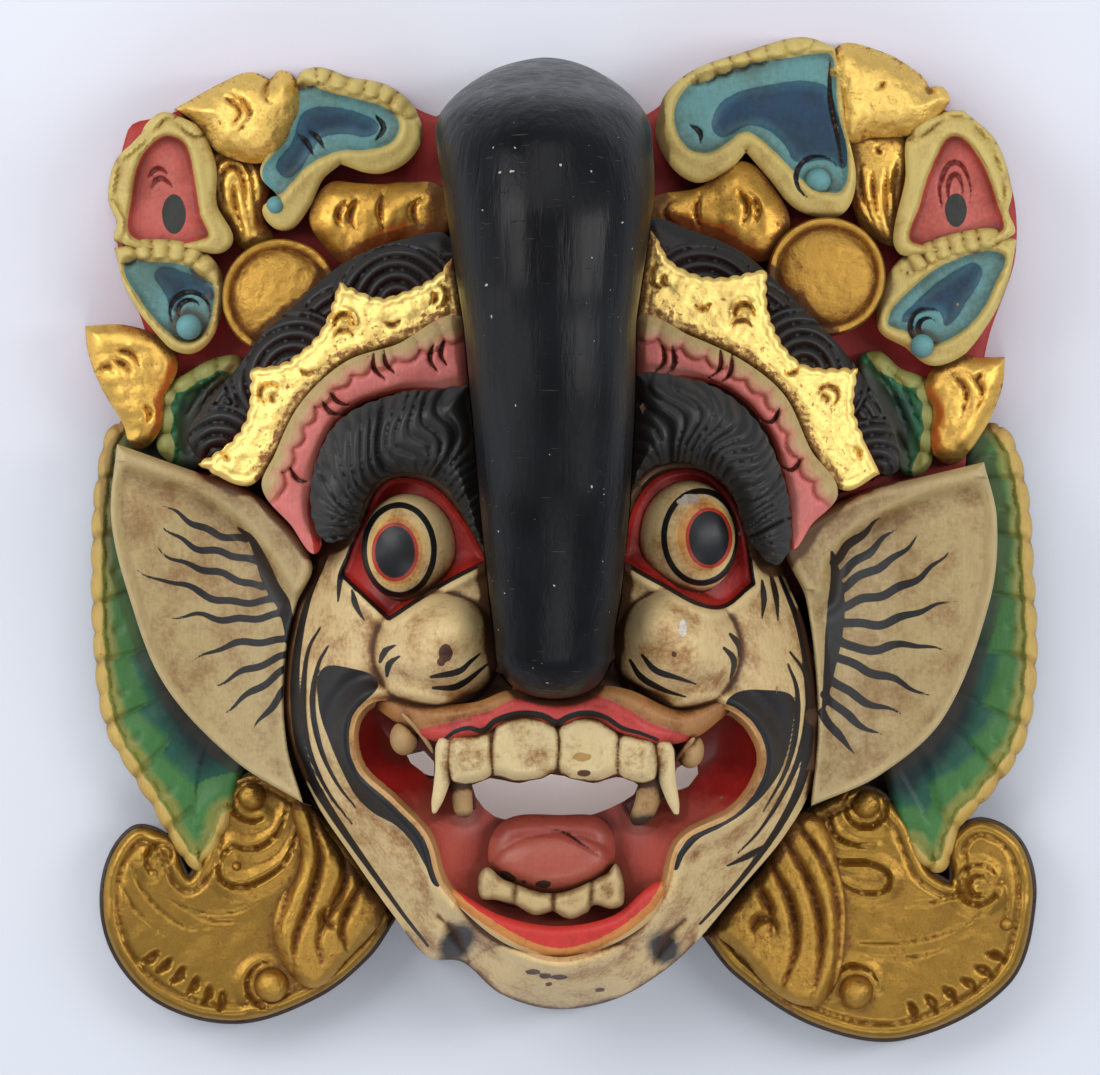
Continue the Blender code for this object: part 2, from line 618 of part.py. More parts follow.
def outline_edges(forms):
    """The outlines that show in the carving: each step is a pair of lines."""
    found = []
    for loop, _ in forms:
        ahead = np.roll(loop, -1, axis=0)
        foot = grown(loop, WALL_RUN)
        foot_ahead = np.roll(foot, -1, axis=0)
        inner = (grown(loop, -1.0) + np.roll(grown(loop, -1.0), -1, axis=0)) / 2
        outer = (grown(loop, WALL_RUN + 1.0) + np.roll(grown(loop, WALL_RUN + 1.0), -1, axis=0)) / 2
        z_in, in_solid = surface(inner, forms)
        z_out, out_solid = surface(outer, forms)
        shows = (np.abs(z_in - z_out) > SMALLEST_STEP) | (in_solid != out_solid)
        for i in np.flatnonzero(shows):
            found.append((loop[i], ahead[i]))
            if out_solid[i]:
                found.append((foot[i], foot_ahead[i]))
    return found


def facing_up(points, faces):
    """The faces, each turned to look at the eye."""
    a, b, c = (points[faces[:, k]] for k in range(3))
    turn = (b - a)[:, 0] * (c - a)[:, 1] - (b - a)[:, 1] * (c - a)[:, 0]
    return np.where((turn > 0)[:, None], faces[:, ::-1], faces)


def triangulate(segments, spare, keep):
    """Flat triangles that hold the given segments, with loose points between them."""
    points = np.round(np.concatenate([np.array(segments).reshape(-1, 2), spare]), 3)
    unique, index = np.unique(points, axis=0, return_inverse=True)
    pairs = index.reshape(-1)[:2 * len(segments)].reshape(-1, 2)
    pairs = [(int(a), int(b)) for a, b in pairs if a != b]
    found = delaunay_2d_cdt([tuple(p) for p in unique], pairs, [], 0, MERGE)
    points = np.array([tuple(p) for p in found[0]])
    faces = np.array(found[2])
    faces = faces[keep(points[faces].mean(axis=1))]
    used, index = np.unique(faces, return_inverse=True)
    points, faces = points[used], index.reshape(-1, 3)
    return points, facing_up(points, faces)


def grid_points(low, high, spacing):
    """A grid whose every other row is shifted by half a step."""
    rows = []
    for k, v in enumerate(np.arange(low[1], high[1], spacing * math.sqrt(0.75))):
        u = np.arange(low[0] + (k % 2) * spacing / 2, high[0], spacing)
        rows.append(np.stack([u, np.full(len(u), v)], axis=1))
    return np.concatenate(rows)


def away_from(points, others, distance):
    """The points that are at least a distance from all others."""
    keep = np.ones(len(points), bool)
    for other in others:
        keep &= np.sum((points - other) ** 2, axis=1) > distance**2
    return points[keep]


def rim_edges(faces):
    """Edges with a face on one side only, each running with its face."""
    edges = {(int(face[k]), int(face[(k + 1) % 3])) for face in faces for k in range(3)}
    return sorted(edge for edge in edges if (edge[1], edge[0]) not in edges)


def closed(front, back, points, top, bottom):
    """A closed mesh: front triangles at one height and back ones at another, with walls between."""
    count = len(points)
    walls = [(b, a, a + count, b + count) for a, b in rim_edges(front)]
    polygons = [tuple(int(i) for i in face) for face in front]
    polygons += [tuple(int(i) + count for i in face[::-1]) for face in back]
    coords = np.concatenate([to_space(points, top), to_space(points, bottom)])
    used, index = np.unique(np.concatenate([np.array(face) for face in polygons + walls]),
                            return_inverse=True)
    sizes = [len(face) for face in polygons + walls]
    starts = np.concatenate([[0], np.cumsum(sizes)])
    return coords[used], [tuple(index[i:j]) for i, j in zip(starts[:-1], starts[1:])]


def make_object(name, coords, polygons, colour, roughness):
    """A mesh object with a painted material."""
    mesh = bpy.data.meshes.new(name)
    mesh.from_pydata([tuple(p) for p in coords], [], polygons)
    solid = bmesh.new()
    solid.from_mesh(mesh)
    bmesh.ops.triangulate(solid, faces=solid.faces)
    solid.to_mesh(mesh)
    open_edges = sum(1 for edge in solid.edges if len(edge.link_faces) != 2)
    print(name, len(solid.faces), "triangles,", open_edges, "open edges, volume",
          round(solid.calc_volume() * 1e6), "cubic cm")
    solid.free()
    paint = bpy.data.materials.new(name + "_paint")
    paint.use_nodes = True
    shader = paint.node_tree.nodes["Principled BSDF"]
    shader.inputs["Base Color"].default_value = (*colour, 1.0)
    shader.inputs["Roughness"].default_value = roughness
    mesh.materials.append(paint)
    piece = bpy.data.objects.new(name, mesh)
    bpy.context.scene.collection.objects.link(piece)
    return piece


def hollow_height(points, forms):
    """Height of the hollow in the back: nothing at its rim, and never nearer than a wall."""
    r = np.sum(((points - HOLLOW_MIDDLE) / HOLLOW_REACH) ** 2, axis=1)
    bowl = HOLLOW * np.clip(1.0 - r, 0.0, 1.0) ** HOLLOW_POWER
    least = surface(points, forms)[0]
    for turn in np.arange(8) * math.pi / 4:
        around = points + BACK_GRID / 2 * np.array([math.cos(turn), math.sin(turn)])
        z, solid = surface(around, forms)
        least = np.minimum(least, np.where(solid, z, least))
    return np.clip(np.minimum(bowl, least - WALL), 0.0, None)


def seat_lines():
    """Lines across the trunk's seat where its slope changes."""
    levels = {row[0] for row in SEAT_RISE}
    lines = []
    for row in trunk_rows():
        if row[0, 1] in levels:
            lines += list(zip(row[:-1], row[1:]))
    return lines


def back_faces(points, front):
    """Coarse triangles of the hollow back, which start from the front's own rim points."""
    rim = rim_edges(front)
    own = np.unique(np.array(rim))
    place = {int(i): k for k, i in enumerate(own)}
    pairs = [(place[a], place[b]) for a, b in rim]
    extra = np.zeros((0, 2))
    for share in HOLLOW_RINGS:
        ring = ellipse(*HOLLOW_MIDDLE, *(HOLLOW_REACH * share), BACK_GRID)
        clear = away_from(ring, points[own], BACK_GRID * 0.3)
        if len(clear) == len(ring):
            start = len(own) + len(extra)
            pairs += [(start + k, start + (k + 1) % len(ring)) for k in range(len(ring))]
        extra = np.concatenate([extra, clear])
    spare = grid_points(points.min(axis=0), points.max(axis=0), BACK_GRID)
    spare = away_from(spare, np.concatenate([points[own], extra]), BACK_GRID * 0.4)
    extra = np.concatenate([extra, spare])
    every = [tuple(p) for p in np.concatenate([points[own], extra])]
    found = delaunay_2d_cdt(every, pairs, [], 0, MERGE * 1e-3)
    flat = np.array([tuple(p) for p in found[0]])
    source = np.array([origins[0] for origins in found[3]])
    faces = np.array(found[2])
    kept = within(flat[faces].mean(axis=1), [points[list(edge)] for edge in rim])
    faces = facing_up(flat, faces[kept])
    names = np.where(source < len(own), own[np.minimum(source, len(own) - 1)],
                     len(points) + source - len(own))
    return names[faces], extra


def make_block():
    """The carved block."""
    forms = make_forms()
    holes = [smooth(outline, FINE_STEP) for outline in MOUTH_HOLES]
    segments = outline_edges(forms) + seat_lines()
    for loop in holes:
        segments += list(zip(loop, np.roll(loop, -1, axis=0)))
    locks = lock_lines()
    for ray, _ in locks:
        segments += list(zip(ray[:-1], ray[1:]))
    line_points = np.array(segments).reshape(-1, 2)
    spare = grid_points(line_points.min(axis=0), line_points.max(axis=0), GRID)
    bulbs = [ellipse(u, v, a * 1.1, b * 1.1) for u, v, a, b in MUZZLES + EYEBALLS]
    fine = np.concatenate([grid_points(loop.min(axis=0), loop.max(axis=0), FINE_GRID)
                           for loop in bulbs])
    on_bulb = np.max([inside(fine, loop) for loop in bulbs], axis=0) > 0.0
    off_bulb = np.max([inside(spare, loop) for loop in bulbs], axis=0) < 0.0
    spare = np.concatenate([away_from(spare[off_bulb], line_points, GRID * 0.55),
                            away_from(fine[on_bulb], line_points, FINE_GRID * 0.55)])

    def on_block(middle):
        keep = surface(middle, forms)[1]
        for loop in holes:
            keep &= inside(middle, loop) < 0.0
        return keep

    points, front = triangulate(segments, spare, on_block)
    top, _ = surface(points, forms)
    for ray, groove in locks:
        for place in ray:
            near = np.sum((points - place) ** 2, axis=1) < 0.01
            top[near] -= LOCK_DEPTH if groove else 0.0
    at_hole = np.zeros(len(points), bool)
    for loop in holes:
        at_hole |= inside(points, loop) > -0.5
    back, extra = back_faces(points, front)
    on_rim = np.zeros(len(points), bool)
    on_rim[np.unique(np.array(rim_edges(front)))] = True
    every = np.concatenate([points, extra])
    top = np.concatenate([top, np.zeros(len(extra))])
    bottom = hollow_height(every, forms)
    bottom[:len(points)][on_rim & ~at_hole] = 0.0
    coords, polygons = closed(front, back, every, top, bottom)
    return make_object("mask", coords, polygons, MASK_PAINT, 0.5)


def make_trunk():
    """The trunk, which lies in its seat."""
    loop = trunk_loop()
    segments = list(zip(loop, np.roll(loop, -1, axis=0)))
    for row in trunk_rows():
        segments += list(zip(row[:-1], row[1:]))

    def on_trunk(middle):
        return inside(middle, loop) > 0.0

    points, front = triangulate(segments, np.zeros((0, 2)), on_trunk)
    bottom = seat_height(points) + TRUNK_GAP
    top = np.maximum(trunk_height(points), bottom + LEAST_TRUNK)
    coords, polygons = closed(front, front, points, top, bottom)
    return make_object("trunk", coords, polygons, TRUNK_PAINT, 0.35)


def main():
    for thing in list(bpy.data.objects):
        bpy.data.objects.remove(thing)
    for piece in (make_block(), make_trunk()):
        corners = np.array([v.co[:] for v in piece.data.vertices])
        print(piece.name, "from", corners.min(axis=0).round(4), "to", corners.max(axis=0).round(4))


main()
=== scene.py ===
# %% [markdown]
# # A carved and painted mask
# The real mask is one block of light wood, carved from the front with chisels, with a second
# piece for the trunk. It is painted with brushes, gilded with leaf and rubbed with brown wax.
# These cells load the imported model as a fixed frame, and then lay every carved form on it as a
# piece of its own, so that each has its own crisp edge, its own tool marks and its own paint.

# %% The frame
import math

import bmesh
import bpy
import numpy as np
from mathutils.geometry import delaunay_2d_cdt
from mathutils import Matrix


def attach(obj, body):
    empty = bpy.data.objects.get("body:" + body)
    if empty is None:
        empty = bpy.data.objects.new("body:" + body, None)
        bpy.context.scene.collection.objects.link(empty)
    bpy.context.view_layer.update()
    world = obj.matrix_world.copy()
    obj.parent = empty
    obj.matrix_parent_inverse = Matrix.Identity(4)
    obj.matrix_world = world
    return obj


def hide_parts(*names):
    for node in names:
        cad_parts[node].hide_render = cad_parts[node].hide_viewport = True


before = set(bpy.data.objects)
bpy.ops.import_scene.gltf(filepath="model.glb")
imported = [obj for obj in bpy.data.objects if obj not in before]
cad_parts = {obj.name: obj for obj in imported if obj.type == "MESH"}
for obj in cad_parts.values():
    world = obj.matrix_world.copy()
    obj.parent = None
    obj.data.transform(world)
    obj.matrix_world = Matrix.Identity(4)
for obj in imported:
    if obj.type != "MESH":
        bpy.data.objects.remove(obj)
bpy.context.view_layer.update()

# %% [markdown]
# ## A drawing seen from one height
# A carver works from a drawing that is pinned on the block. Here too every outline lies on one
# drawing, seen from 1.5 m straight above the back. A place on the drawing and a height give a
# place in space. Walls follow the lines of sight, so forms that are laid on each other never
# cut through one another, and from the camera each outline shows exactly as it is drawn.

# %% From the drawing to the wood
MASK_LENGTH = 432.15    # millimetres, from the crown to the end of the scroll leaves
UNIT = MASK_LENGTH / 1005.0          # millimetres of one drawing unit, at the back
DRAWING = (1100.0, 1075.0)           # width and height of the drawing
SIGHT = 1500.0          # height in millimetres from which the drawing is seen
MM = 0.001              # metres
AXIS = np.array((550.0, 537.5))      # drawing point straight below the eye
ORIGIN = np.array((561.7, 539.5))    # drawing point of the middle of the back


def to_space(points, z):
    """Drawing points at heights in millimetres, as places in metres."""
    points = np.asarray(points, float)
    z = np.broadcast_to(np.asarray(z, float), (len(points),))
    flat = ((points - AXIS) * (1.0 - z / SIGHT)[:, None] + AXIS - ORIGIN) * UNIT
    return np.stack([flat[:, 0], -flat[:, 1], z], axis=1) * MM


def to_drawing(places):
    """Places in metres as drawing points and heights in millimetres."""
    places = np.asarray(places, float) * 1000.0
    flat = places[:, :2] * (1.0, -1.0) / UNIT + ORIGIN - AXIS
    return flat / (1.0 - places[:, 2] / SIGHT)[:, None] + AXIS, places[:, 2]


corner = to_space([(0.0, 0.0), DRAWING], 0.0)
print("the whole drawing covers", (np.abs(corner[1] - corner[0])[:2] * 1000).round(), "mm at the back")

# %% [markdown]
# ## Curves through a few points
# An outline holds only the points that its shape needs. A smooth curve runs through them, and a
# third value marks a sharp corner. The same function draws open lines, for chisel grooves and
# brush strokes.

# %% Curves
STEP = 3.0              # drawing units between the points of a fine outline


def smooth(points, step=STEP, closed=True):
    """Points along a smooth curve through the given ones."""
    count = len(points)
    places = [np.array(point[:2], float) for point in points]
    found = []
    for i in range(count if closed else count - 1):
        here, there = places[i], places[(i + 1) % count]
        before = places[i - 1] if closed or i > 0 else 2 * here - there
        after = places[(i + 2) % count] if closed or i + 2 < count else 2 * there - here
        chord = np.linalg.norm(there - here)
        leave = there - here if len(points[i]) > 2 else there - before
        arrive = there - here if len(points[(i + 1) % count]) > 2 else after - here
        leave = leave / max(np.linalg.norm(leave), 1e-9) * chord
        arrive = arrive / max(np.linalg.norm(arrive), 1e-9) * chord
        pieces = max(1, round(chord / step))
        for t in np.arange(pieces) / pieces:
            found.append((2 * t**3 - 3 * t**2 + 1) * here + (t**3 - 2 * t**2 + t) * leave
                         + (3 * t**2 - 2 * t**3) * there + (t**3 - t**2) * arrive)
    if not closed:
        found.append(places[-1])
    return np.array(found)


def ellipse(u, v, across, down=None, step=STEP, turn=0.0):
    """Points round an ellipse, or round a circle where it has one radius."""
    down = across if down is None else down
    count = max(12, round(2 * math.pi * max(across, down) / step))
    angle = np.arange(count) * 2 * math.pi / count
    flat = np.stack([across * np.cos(angle), down * np.sin(angle)], axis=1)
    c, s = math.cos(math.radians(turn)), math.sin(math.radians(turn))
    return flat @ np.array(((c, s), (-s, c))) + (u, v)


def arc(u, v, radius, first, last, step=STEP):
    """Points along part of a circle, with its ends in degrees, clockwise from the right."""
    count = max(4, round(math.radians(abs(last - first)) * radius / step))
    angle = np.radians(np.linspace(first, last, count))
    return np.stack([u + radius * np.cos(angle), v + radius * np.sin(angle)], axis=1)


def area(loop):
    """Signed area of a closed loop."""
    ahead = np.roll(loop, -1, axis=0)
    return 0.5 * float(np.sum(loop[:, 0] * ahead[:, 1] - loop[:, 1] * ahead[:, 0]))


def grown(loop, amount):
    """The loop moved outwards by an amount, or inwards where it is negative."""
    ahead = np.roll(loop, -1, axis=0) - loop
    ahead /= np.maximum(np.linalg.norm(ahead, axis=1)[:, None], 1e-9)
    along = ahead + np.roll(ahead, 1, axis=0)
    length = np.linalg.norm(along, axis=1)[:, None]
    along = np.where(length > 0.5, along / np.maximum(length, 1e-9), ahead)
    out = np.stack([along[:, 1], -along[:, 0]], axis=1) * math.copysign(1.0, area(loop))
    return loop + out * np.asarray(amount, float).reshape(-1, 1)


def scalloped(loop, period, depth, first=0.0, last=1.0):
    """The loop with round beads along the part of its length from first to last."""
    run = np.linalg.norm(np.roll(loop, -1, axis=0) - loop, axis=1)
    share = (np.cumsum(run) - run) / run.sum()
    wave = np.abs(np.sin(share * run.sum() * math.pi / period)) ** 0.6 - 0.6
    here = (share - first) % 1.0 < (last - first) % 1.0 if first != last % 1.0 else share >= 0.0
    return grown(loop, np.where(here, depth * wave, 0.0))


print("a test circle has", len(ellipse(0, 0, 40)), "points")

# %% [markdown]
# ## How far from a line
# Nearly every tool mark depends on one question: how far is this place from that line? Inside an
# outline the answer says where an edge rounds off or where a painted border stops. Beside a
# line it says how deep a gouge has cut. The answers are stored on the mesh too, in millimetres,
# and the paint reads them, so that paint and carving always meet.

# %% Distances
FAR = 99.0


def close_to(points, line, margin):
    """The points in a box round a line."""
    low, high = line.min(axis=0) - margin, line.max(axis=0) + margin
    return np.all((points > low) & (points < high), axis=1)


def nearest(points, line, margin=60.0, closed=False):
    """Distance to a line, and how far along it the nearest place is."""
    ends = np.roll(line, -1, axis=0) if closed else line[1:]
    starts = line if closed else line[:-1]
    best, place = np.full(len(points), FAR), np.zeros(len(points))
    close = close_to(points, line, margin)
    p = points[close]
    if not len(p):
        return best, place
    near, where, travelled = np.full(len(p), FAR), np.zeros(len(p)), 0.0
    for a, b in zip(starts, ends):
        run = b - a
        length = max(float(np.hypot(*run)), 1e-9)
        t = np.clip(((p - a) @ run) / length**2, 0.0, 1.0)
        away = np.hypot(p[:, 0] - a[0] - t * run[0], p[:, 1] - a[1] - t * run[1])
        nearer = away < near
        near[nearer] = away[nearer]
        where[nearer] = travelled + t[nearer] * length
        travelled += length
    best[close], place[close] = near, where
    return best, place


def enclosed(points, starts, ends):
    """Which points have an odd number of edges beside them, and so lie inside."""
    u, v = points.T
    odd = np.zeros(len(points), bool)
    for a, b in zip(starts, ends):
        if a[1] != b[1]:
            odd ^= ((a[1] > v) != (b[1] > v)) & (u < a[0] + (v - a[1]) * (b[0] - a[0]) / (b[1] - a[1]))
    return odd


def within(points, loop):
    """Which points lie inside a closed loop."""
    found = close_to(points, loop, 1.0)
    found[found] = enclosed(points[found], loop, np.roll(loop, -1, axis=0))
    return found


def inside(points, loop):
    """Distance from a closed loop in drawing units, positive inside it."""
    away, _ = nearest(points, loop, closed=True)
    return np.where(within(points, loop), away, -away)


def in_any(points, loops):
    """How far inside the nearest of several closed loops, or far outside where there are none."""
    return np.max([np.full(len(points), -FAR), *(inside(points, loop) for loop in loops)], axis=0)


def strokes(points, lines, wide, taper=(0.3, 0.1)):
    """How far inside the nearest stroke: its half width shrinks to shares at its two ends."""
    best = np.full(len(points), -FAR)
    for line in lines:
        line = line if isinstance(line, np.ndarray) else smooth(line, 5.0, closed=False)
        close = close_to(points, line, wide + 12.0)
        p = points[close]
        if not len(p):
            continue
        away, along = nearest(p, line)
        share = along / max(np.hypot(*np.diff(line, axis=0).T).sum(), 1e-9)
        half = wide * np.minimum(np.minimum(taper[0] + (1 - taper[0]) * share / 0.3,
                                            taper[1] + (1 - taper[1]) * (1 - share) / 0.5), 1.0)
        best[close] = np.maximum(best[close], half - away)
    return best


def gouged(points, lines, wide, depth, taper=(0.4, 0.2), power=0.7):
    """Depth in millimetres of grooves along lines. A power above 1 leaves round ridges between them."""
    return depth * np.clip(strokes(points, lines, wide, taper) / wide, 0.0, 1.0) ** power


def wavy(line, sway, period):
    """A line that wavers from side to side, as a quick brush draws it."""
    line = smooth(line, 4.0, closed=False)
    run = np.gradient(line, axis=0)
    length = np.maximum(np.hypot(*run.T), 1e-9)
    out = np.stack([-run[:, 1], run[:, 0]], axis=1) / length[:, None]
    return line + out * (sway * np.sin(np.cumsum(length) * 2 * math.pi / period))[:, None]


def beads(points, line, wide, period):
    """A row of beads along a line: how far inside the row, and each bead's rise from 0 to 1."""
    away, along = nearest(points, line, 90.0)
    swell = np.abs(np.sin(along * math.pi / period))
    return wide * (1.0 + 0.2 * swell) - away, swell**0.45


def ease(x):
    """Rises from 0 to 1 and rounds off at the top."""
    return 1.0 - (1.0 - np.clip(x, 0.0, 1.0)) ** 2


def fall(d, drop, width):
    """How far the wood has dropped near its outline, rounded off within a width in millimetres."""
    return drop * (1.0 - ease(d * UNIT / width))


def bell(x, width):
    """A soft bump of height 1 round zero."""
    return np.exp(-(x / width) ** 2)


def mound(points, u, v, across, down, power=0.6):
    """A round rise of height 1 on an ellipse."""
    r = ((points[:, 0] - u) / across) ** 2 + ((points[:, 1] - v) / down) ** 2
    return np.clip(1.0 - r, 0.0, 1.0) ** power


def uneven(points, size, seed=0.0):
    """Soft unevenness between -1 and 1, as a hand tool leaves it."""
    u, v = points[:, 0] / size, points[:, 1] / size
    total = np.zeros(len(points))
    for k in range(4):
        turn = seed + 1.3 * k
        total += np.sin(u * math.cos(turn) * (1 + 0.4 * k) + v * math.sin(turn) * (1 + 0.3 * k)
                        + 2.1 * seed + k * k)
    return total / 4.0


print("distance tests:", nearest(np.array([(0.0, 5.0)]), np.array([(-9.0, 0.0), (9.0, 0.0)]))[0])

# %% [markdown]
# ## The frame's own heights
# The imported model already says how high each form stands, where the hollow lies and where the
# trunk's seat runs. These are the same sizes, so that every piece sits where the frame has it.

# %% Heights and the hollow
GROUND = 28.0
LEAF = 52.0
DISC = 58.0
FLOWER = 56.0
TIP_LEAF = 46.0
GREEN_LEAF = 40.0
RUFF = 31.0
SCROLL = 28.0
SCROLL_RELIEF = 9.0
CROWN_HAIR = 78.0
GOLD_BAND = 100.0
PINK_BAND = 108.0
BROW_HAIR = 127.0
BAND_FALL, BAND_FROM, BAND_RUN = 15.0, 90.0, 260.0
EAR_ROOT, EAR_HOLLOW, EAR_EDGE, EAR_FROM, EAR_RUN = 76.0, 55.0, 62.0, 235.0, 205.0
FACE_EDGE, FACE_TOP, FACE_ROUND, MUZZLE_RISE = 64.0, 108.0, 38.0, 32.0
EYE_SINK = 5.0
LIP, TOOTH, FANG, TUSK = 130.0, 126.0, 121.0, 112.0
MOUTH_RIM, MOUTH_FLOOR, MOUTH_SLOPE = 102.0, 86.0, 26.0
TONGUE, LOWER_TOOTH, LOWER_LIP = 103.0, 110.0, 108.0
TRUNK_SEAT, TRUNK_AXIS, TRUNK_GAP = 105.0, 148.0, 0.35
HOLLOW, HOLLOW_POWER = 74.0, 0.38
HOLLOW_MIDDLE, HOLLOW_REACH = np.array((552.0, 630.0)), np.array((208.0, 290.0))
SHELL = 3.5             # least wood between a piece's underside and the hollow
LOWEST = 0.4            # undersides of the outer pieces, above the table

TRUNK_STATIONS = ((130, 543, 109), (190, 549, 106), (238, 549, 99), (323, 550, 86),
                  (400, 553, 82), (500, 555, 75), (600, 555, 65), (640, 554, 59))
TRUNK_TOP, TRUNK_TIP = 57.0, 698.0
TOP_ROUND, TIP_ROUND = 1.6, 2.5
TRUNK_RISE = ((57, -92), (80, -62), (110, -33), (150, -14), (220, -3), (300, 2), (400, 2),
              (500, 0), (600, -6), (660, -11), (698, -18))
SEAT_RISE = ((57, -77), (110, -66), (150, -55), (240, -45), (300, -30), (360, -10), (400, 0),
             (500, 0), (600, 7), (698, 13))


def trunk_edges(v):
    """Left and right edge of the trunk at places down the drawing."""
    stations = np.array(TRUNK_STATIONS, float)
    middle = np.interp(v, stations[:, 0], stations[:, 1])
    half = np.interp(v, stations[:, 0], stations[:, 2])
    first, last = stations[0, 0], stations[-1, 0]
    above = np.clip((first - v) / (first - TRUNK_TOP), 0.0, 1.0)
    below = np.clip((v - last) / (TRUNK_TIP - last), 0.0, 1.0)
    half = half * (1.0 - above**TOP_ROUND) ** (1.0 / TOP_ROUND)
    half = half * (1.0 - below**TIP_ROUND) ** (1.0 / TIP_ROUND)
    return middle - half, middle + half


def trunk_loop(margin):
    """The trunk's outline, grown by a margin."""
    turn = np.sin(np.linspace(0.0, math.pi / 2, 24))
    first, last = TRUNK_STATIONS[0][0], TRUNK_STATIONS[-1][0]
    down = np.unique(np.concatenate([first - (first - TRUNK_TOP) * turn, np.arange(first, last, 6.0),
                                     last + (TRUNK_TIP - last) * turn]))
    left, right = trunk_edges(down)
    loop = np.concatenate([np.stack([left, down], axis=1), np.stack([right, down], axis=1)[-2:0:-1]])
    return grown(loop, margin)


def seat_height(points):
    """Height of the trunk's seat."""
    rise = np.array(SEAT_RISE, float)
    return TRUNK_SEAT + np.interp(points[:, 1], rise[:, 0], rise[:, 1])


def underside(points, top):
    """Height of a piece's underside: near the table, or a shell over the hollow."""
    share = np.sum(((points - HOLLOW_MIDDLE) / HOLLOW_REACH) ** 2, axis=1)
    bowl = HOLLOW * np.clip(1.08 - share, 0.0, 1.0) ** HOLLOW_POWER
    return np.where(bowl > 0.0, np.minimum(bowl + SHELL, top - 2.0), LOWEST)


def beside_trunk(points):
    """0 beside the trunk and 1 at the temples."""
    away = np.abs(points[:, 0] - AXIS[0])
    return np.clip((away - BAND_FROM) / BAND_RUN, 0.0, 1.5) ** 1.5


SEAT = trunk_loop(1.2)
print("the trunk's seat is", round(np.ptp(SEAT[:, 1]) * UNIT), "mm long")

# %% [markdown]
# ## One way to make every carved form
# Carved leaves and curls are shallow reliefs with free outlines. Primitives and extrusions
# would give slabs with straight tool marks, so these forms are cut from a fine sheet of
# triangles instead: the outline and two lines just inside it, a grid between them, a height
# from the form's own rule, walls down along the lines of sight, and coarse triangles below.
# The round things, such as the eyes, the fangs, the discs and the trunk, are modelled with
# Blender's own tools further on.

# %% A carved piece
made = []
WALL_LIP = 5.0          # depth of a wall's upper part, which takes the form's own paint
RIM_LINES = (0.9, 2.2)  # drawing units from an outline to the lines of points beside it
COARSE = 16.0           # drawing units between the points of an underside
SHARP = math.radians(55.0)


def standing(name, data, place=(0.0, 0.0, 0.0)):
    """A new object in the scene, at a place in metres."""
    thing = bpy.data.objects.new(name, data)
    thing.location = place
    bpy.context.scene.collection.objects.link(thing)
    return thing


def own(piece):
    """Makes an object a piece of the mask, which rides on the body."""
    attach(piece, "root")
    made.append(piece)
    print(piece.name, len(piece.data.polygons), "faces")
    return piece


def places_of(piece):
    """The places in metres of a piece's points."""
    return np.array([v.co[:] for v in piece.data.vertices])


def mark(mesh, key, values):
    """Stores one number for each point of a mesh."""
    mesh.attributes.new(key, "FLOAT", "POINT").data.foreach_set("value", values.astype(np.float32))


def grid_points(low, high, spacing):
    """A grid whose every other row is shifted by half a step."""
    rows = []
    for k, v in enumerate(np.arange(low[1], high[1], spacing * math.sqrt(0.75))):
        u = np.arange(low[0] + (k % 2) * spacing / 2, high[0], spacing)
        rows.append(np.stack([u, np.full(len(u), v)], axis=1))
    return np.concatenate(rows)


def facing_up(points, faces):
    """The faces, each turned to look at the eye."""
    a, b, c = (points[faces[:, k]] for k in range(3))
    turn = (b - a)[:, 0] * (c - a)[:, 1] - (b - a)[:, 1] * (c - a)[:, 0]
    return np.where((turn > 0)[:, None], faces[:, ::-1], faces)


def rim_edges(faces):
    """Edges with a face on one side only, each running with its face."""
    edges = np.concatenate([faces[:, (0, 1)], faces[:, (1, 2)], faces[:, (2, 0)]]).astype(np.int64)
    size = int(faces.max()) + 1
    there = np.isin(edges[:, 1] * size + edges[:, 0], edges[:, 0] * size + edges[:, 1])
    return edges[~there]


def sheet(loop, cuts, step):
    """Fine triangles inside a loop and outside the cuts."""
    lines, loose = [], []
    for k, line in enumerate([loop, *cuts]):
        lines.append(line)
        for depth in RIM_LINES:
            loose.append(grown(line, depth if k else -depth))
    loose.append(grid_points(loop.min(axis=0), loop.max(axis=0), step))
    loose = np.concatenate(loose)
    keep = within(loose, loop)
    for line in lines:
        keep[keep] = nearest(loose[keep], line, 10.0, closed=True)[0] > 0.7
    for cut in cuts:
        keep[keep] = ~within(loose[keep], cut)
    loose = loose[keep]
    starts = np.cumsum([0] + [len(line) for line in lines])
    pairs = [(int(s + k), int(s + (k + 1) % len(line))) for s, line in zip(starts, lines)
             for k in range(len(line))]
    every = np.concatenate([*lines, loose])
    found = delaunay_2d_cdt([tuple(p) for p in every], pairs, [], 0, 0.05)
    flat = np.array([tuple(p) for p in found[0]])
    faces = np.array(found[2])
    middle = flat[faces].mean(axis=1)
    kept = within(middle, loop)
    for cut in cuts:
        kept &= ~within(middle, cut)
    faces = faces[kept]
    used, index = np.unique(faces, return_inverse=True)
    flat, faces = flat[used], index.reshape(-1, 3)
    return flat, facing_up(flat, faces)


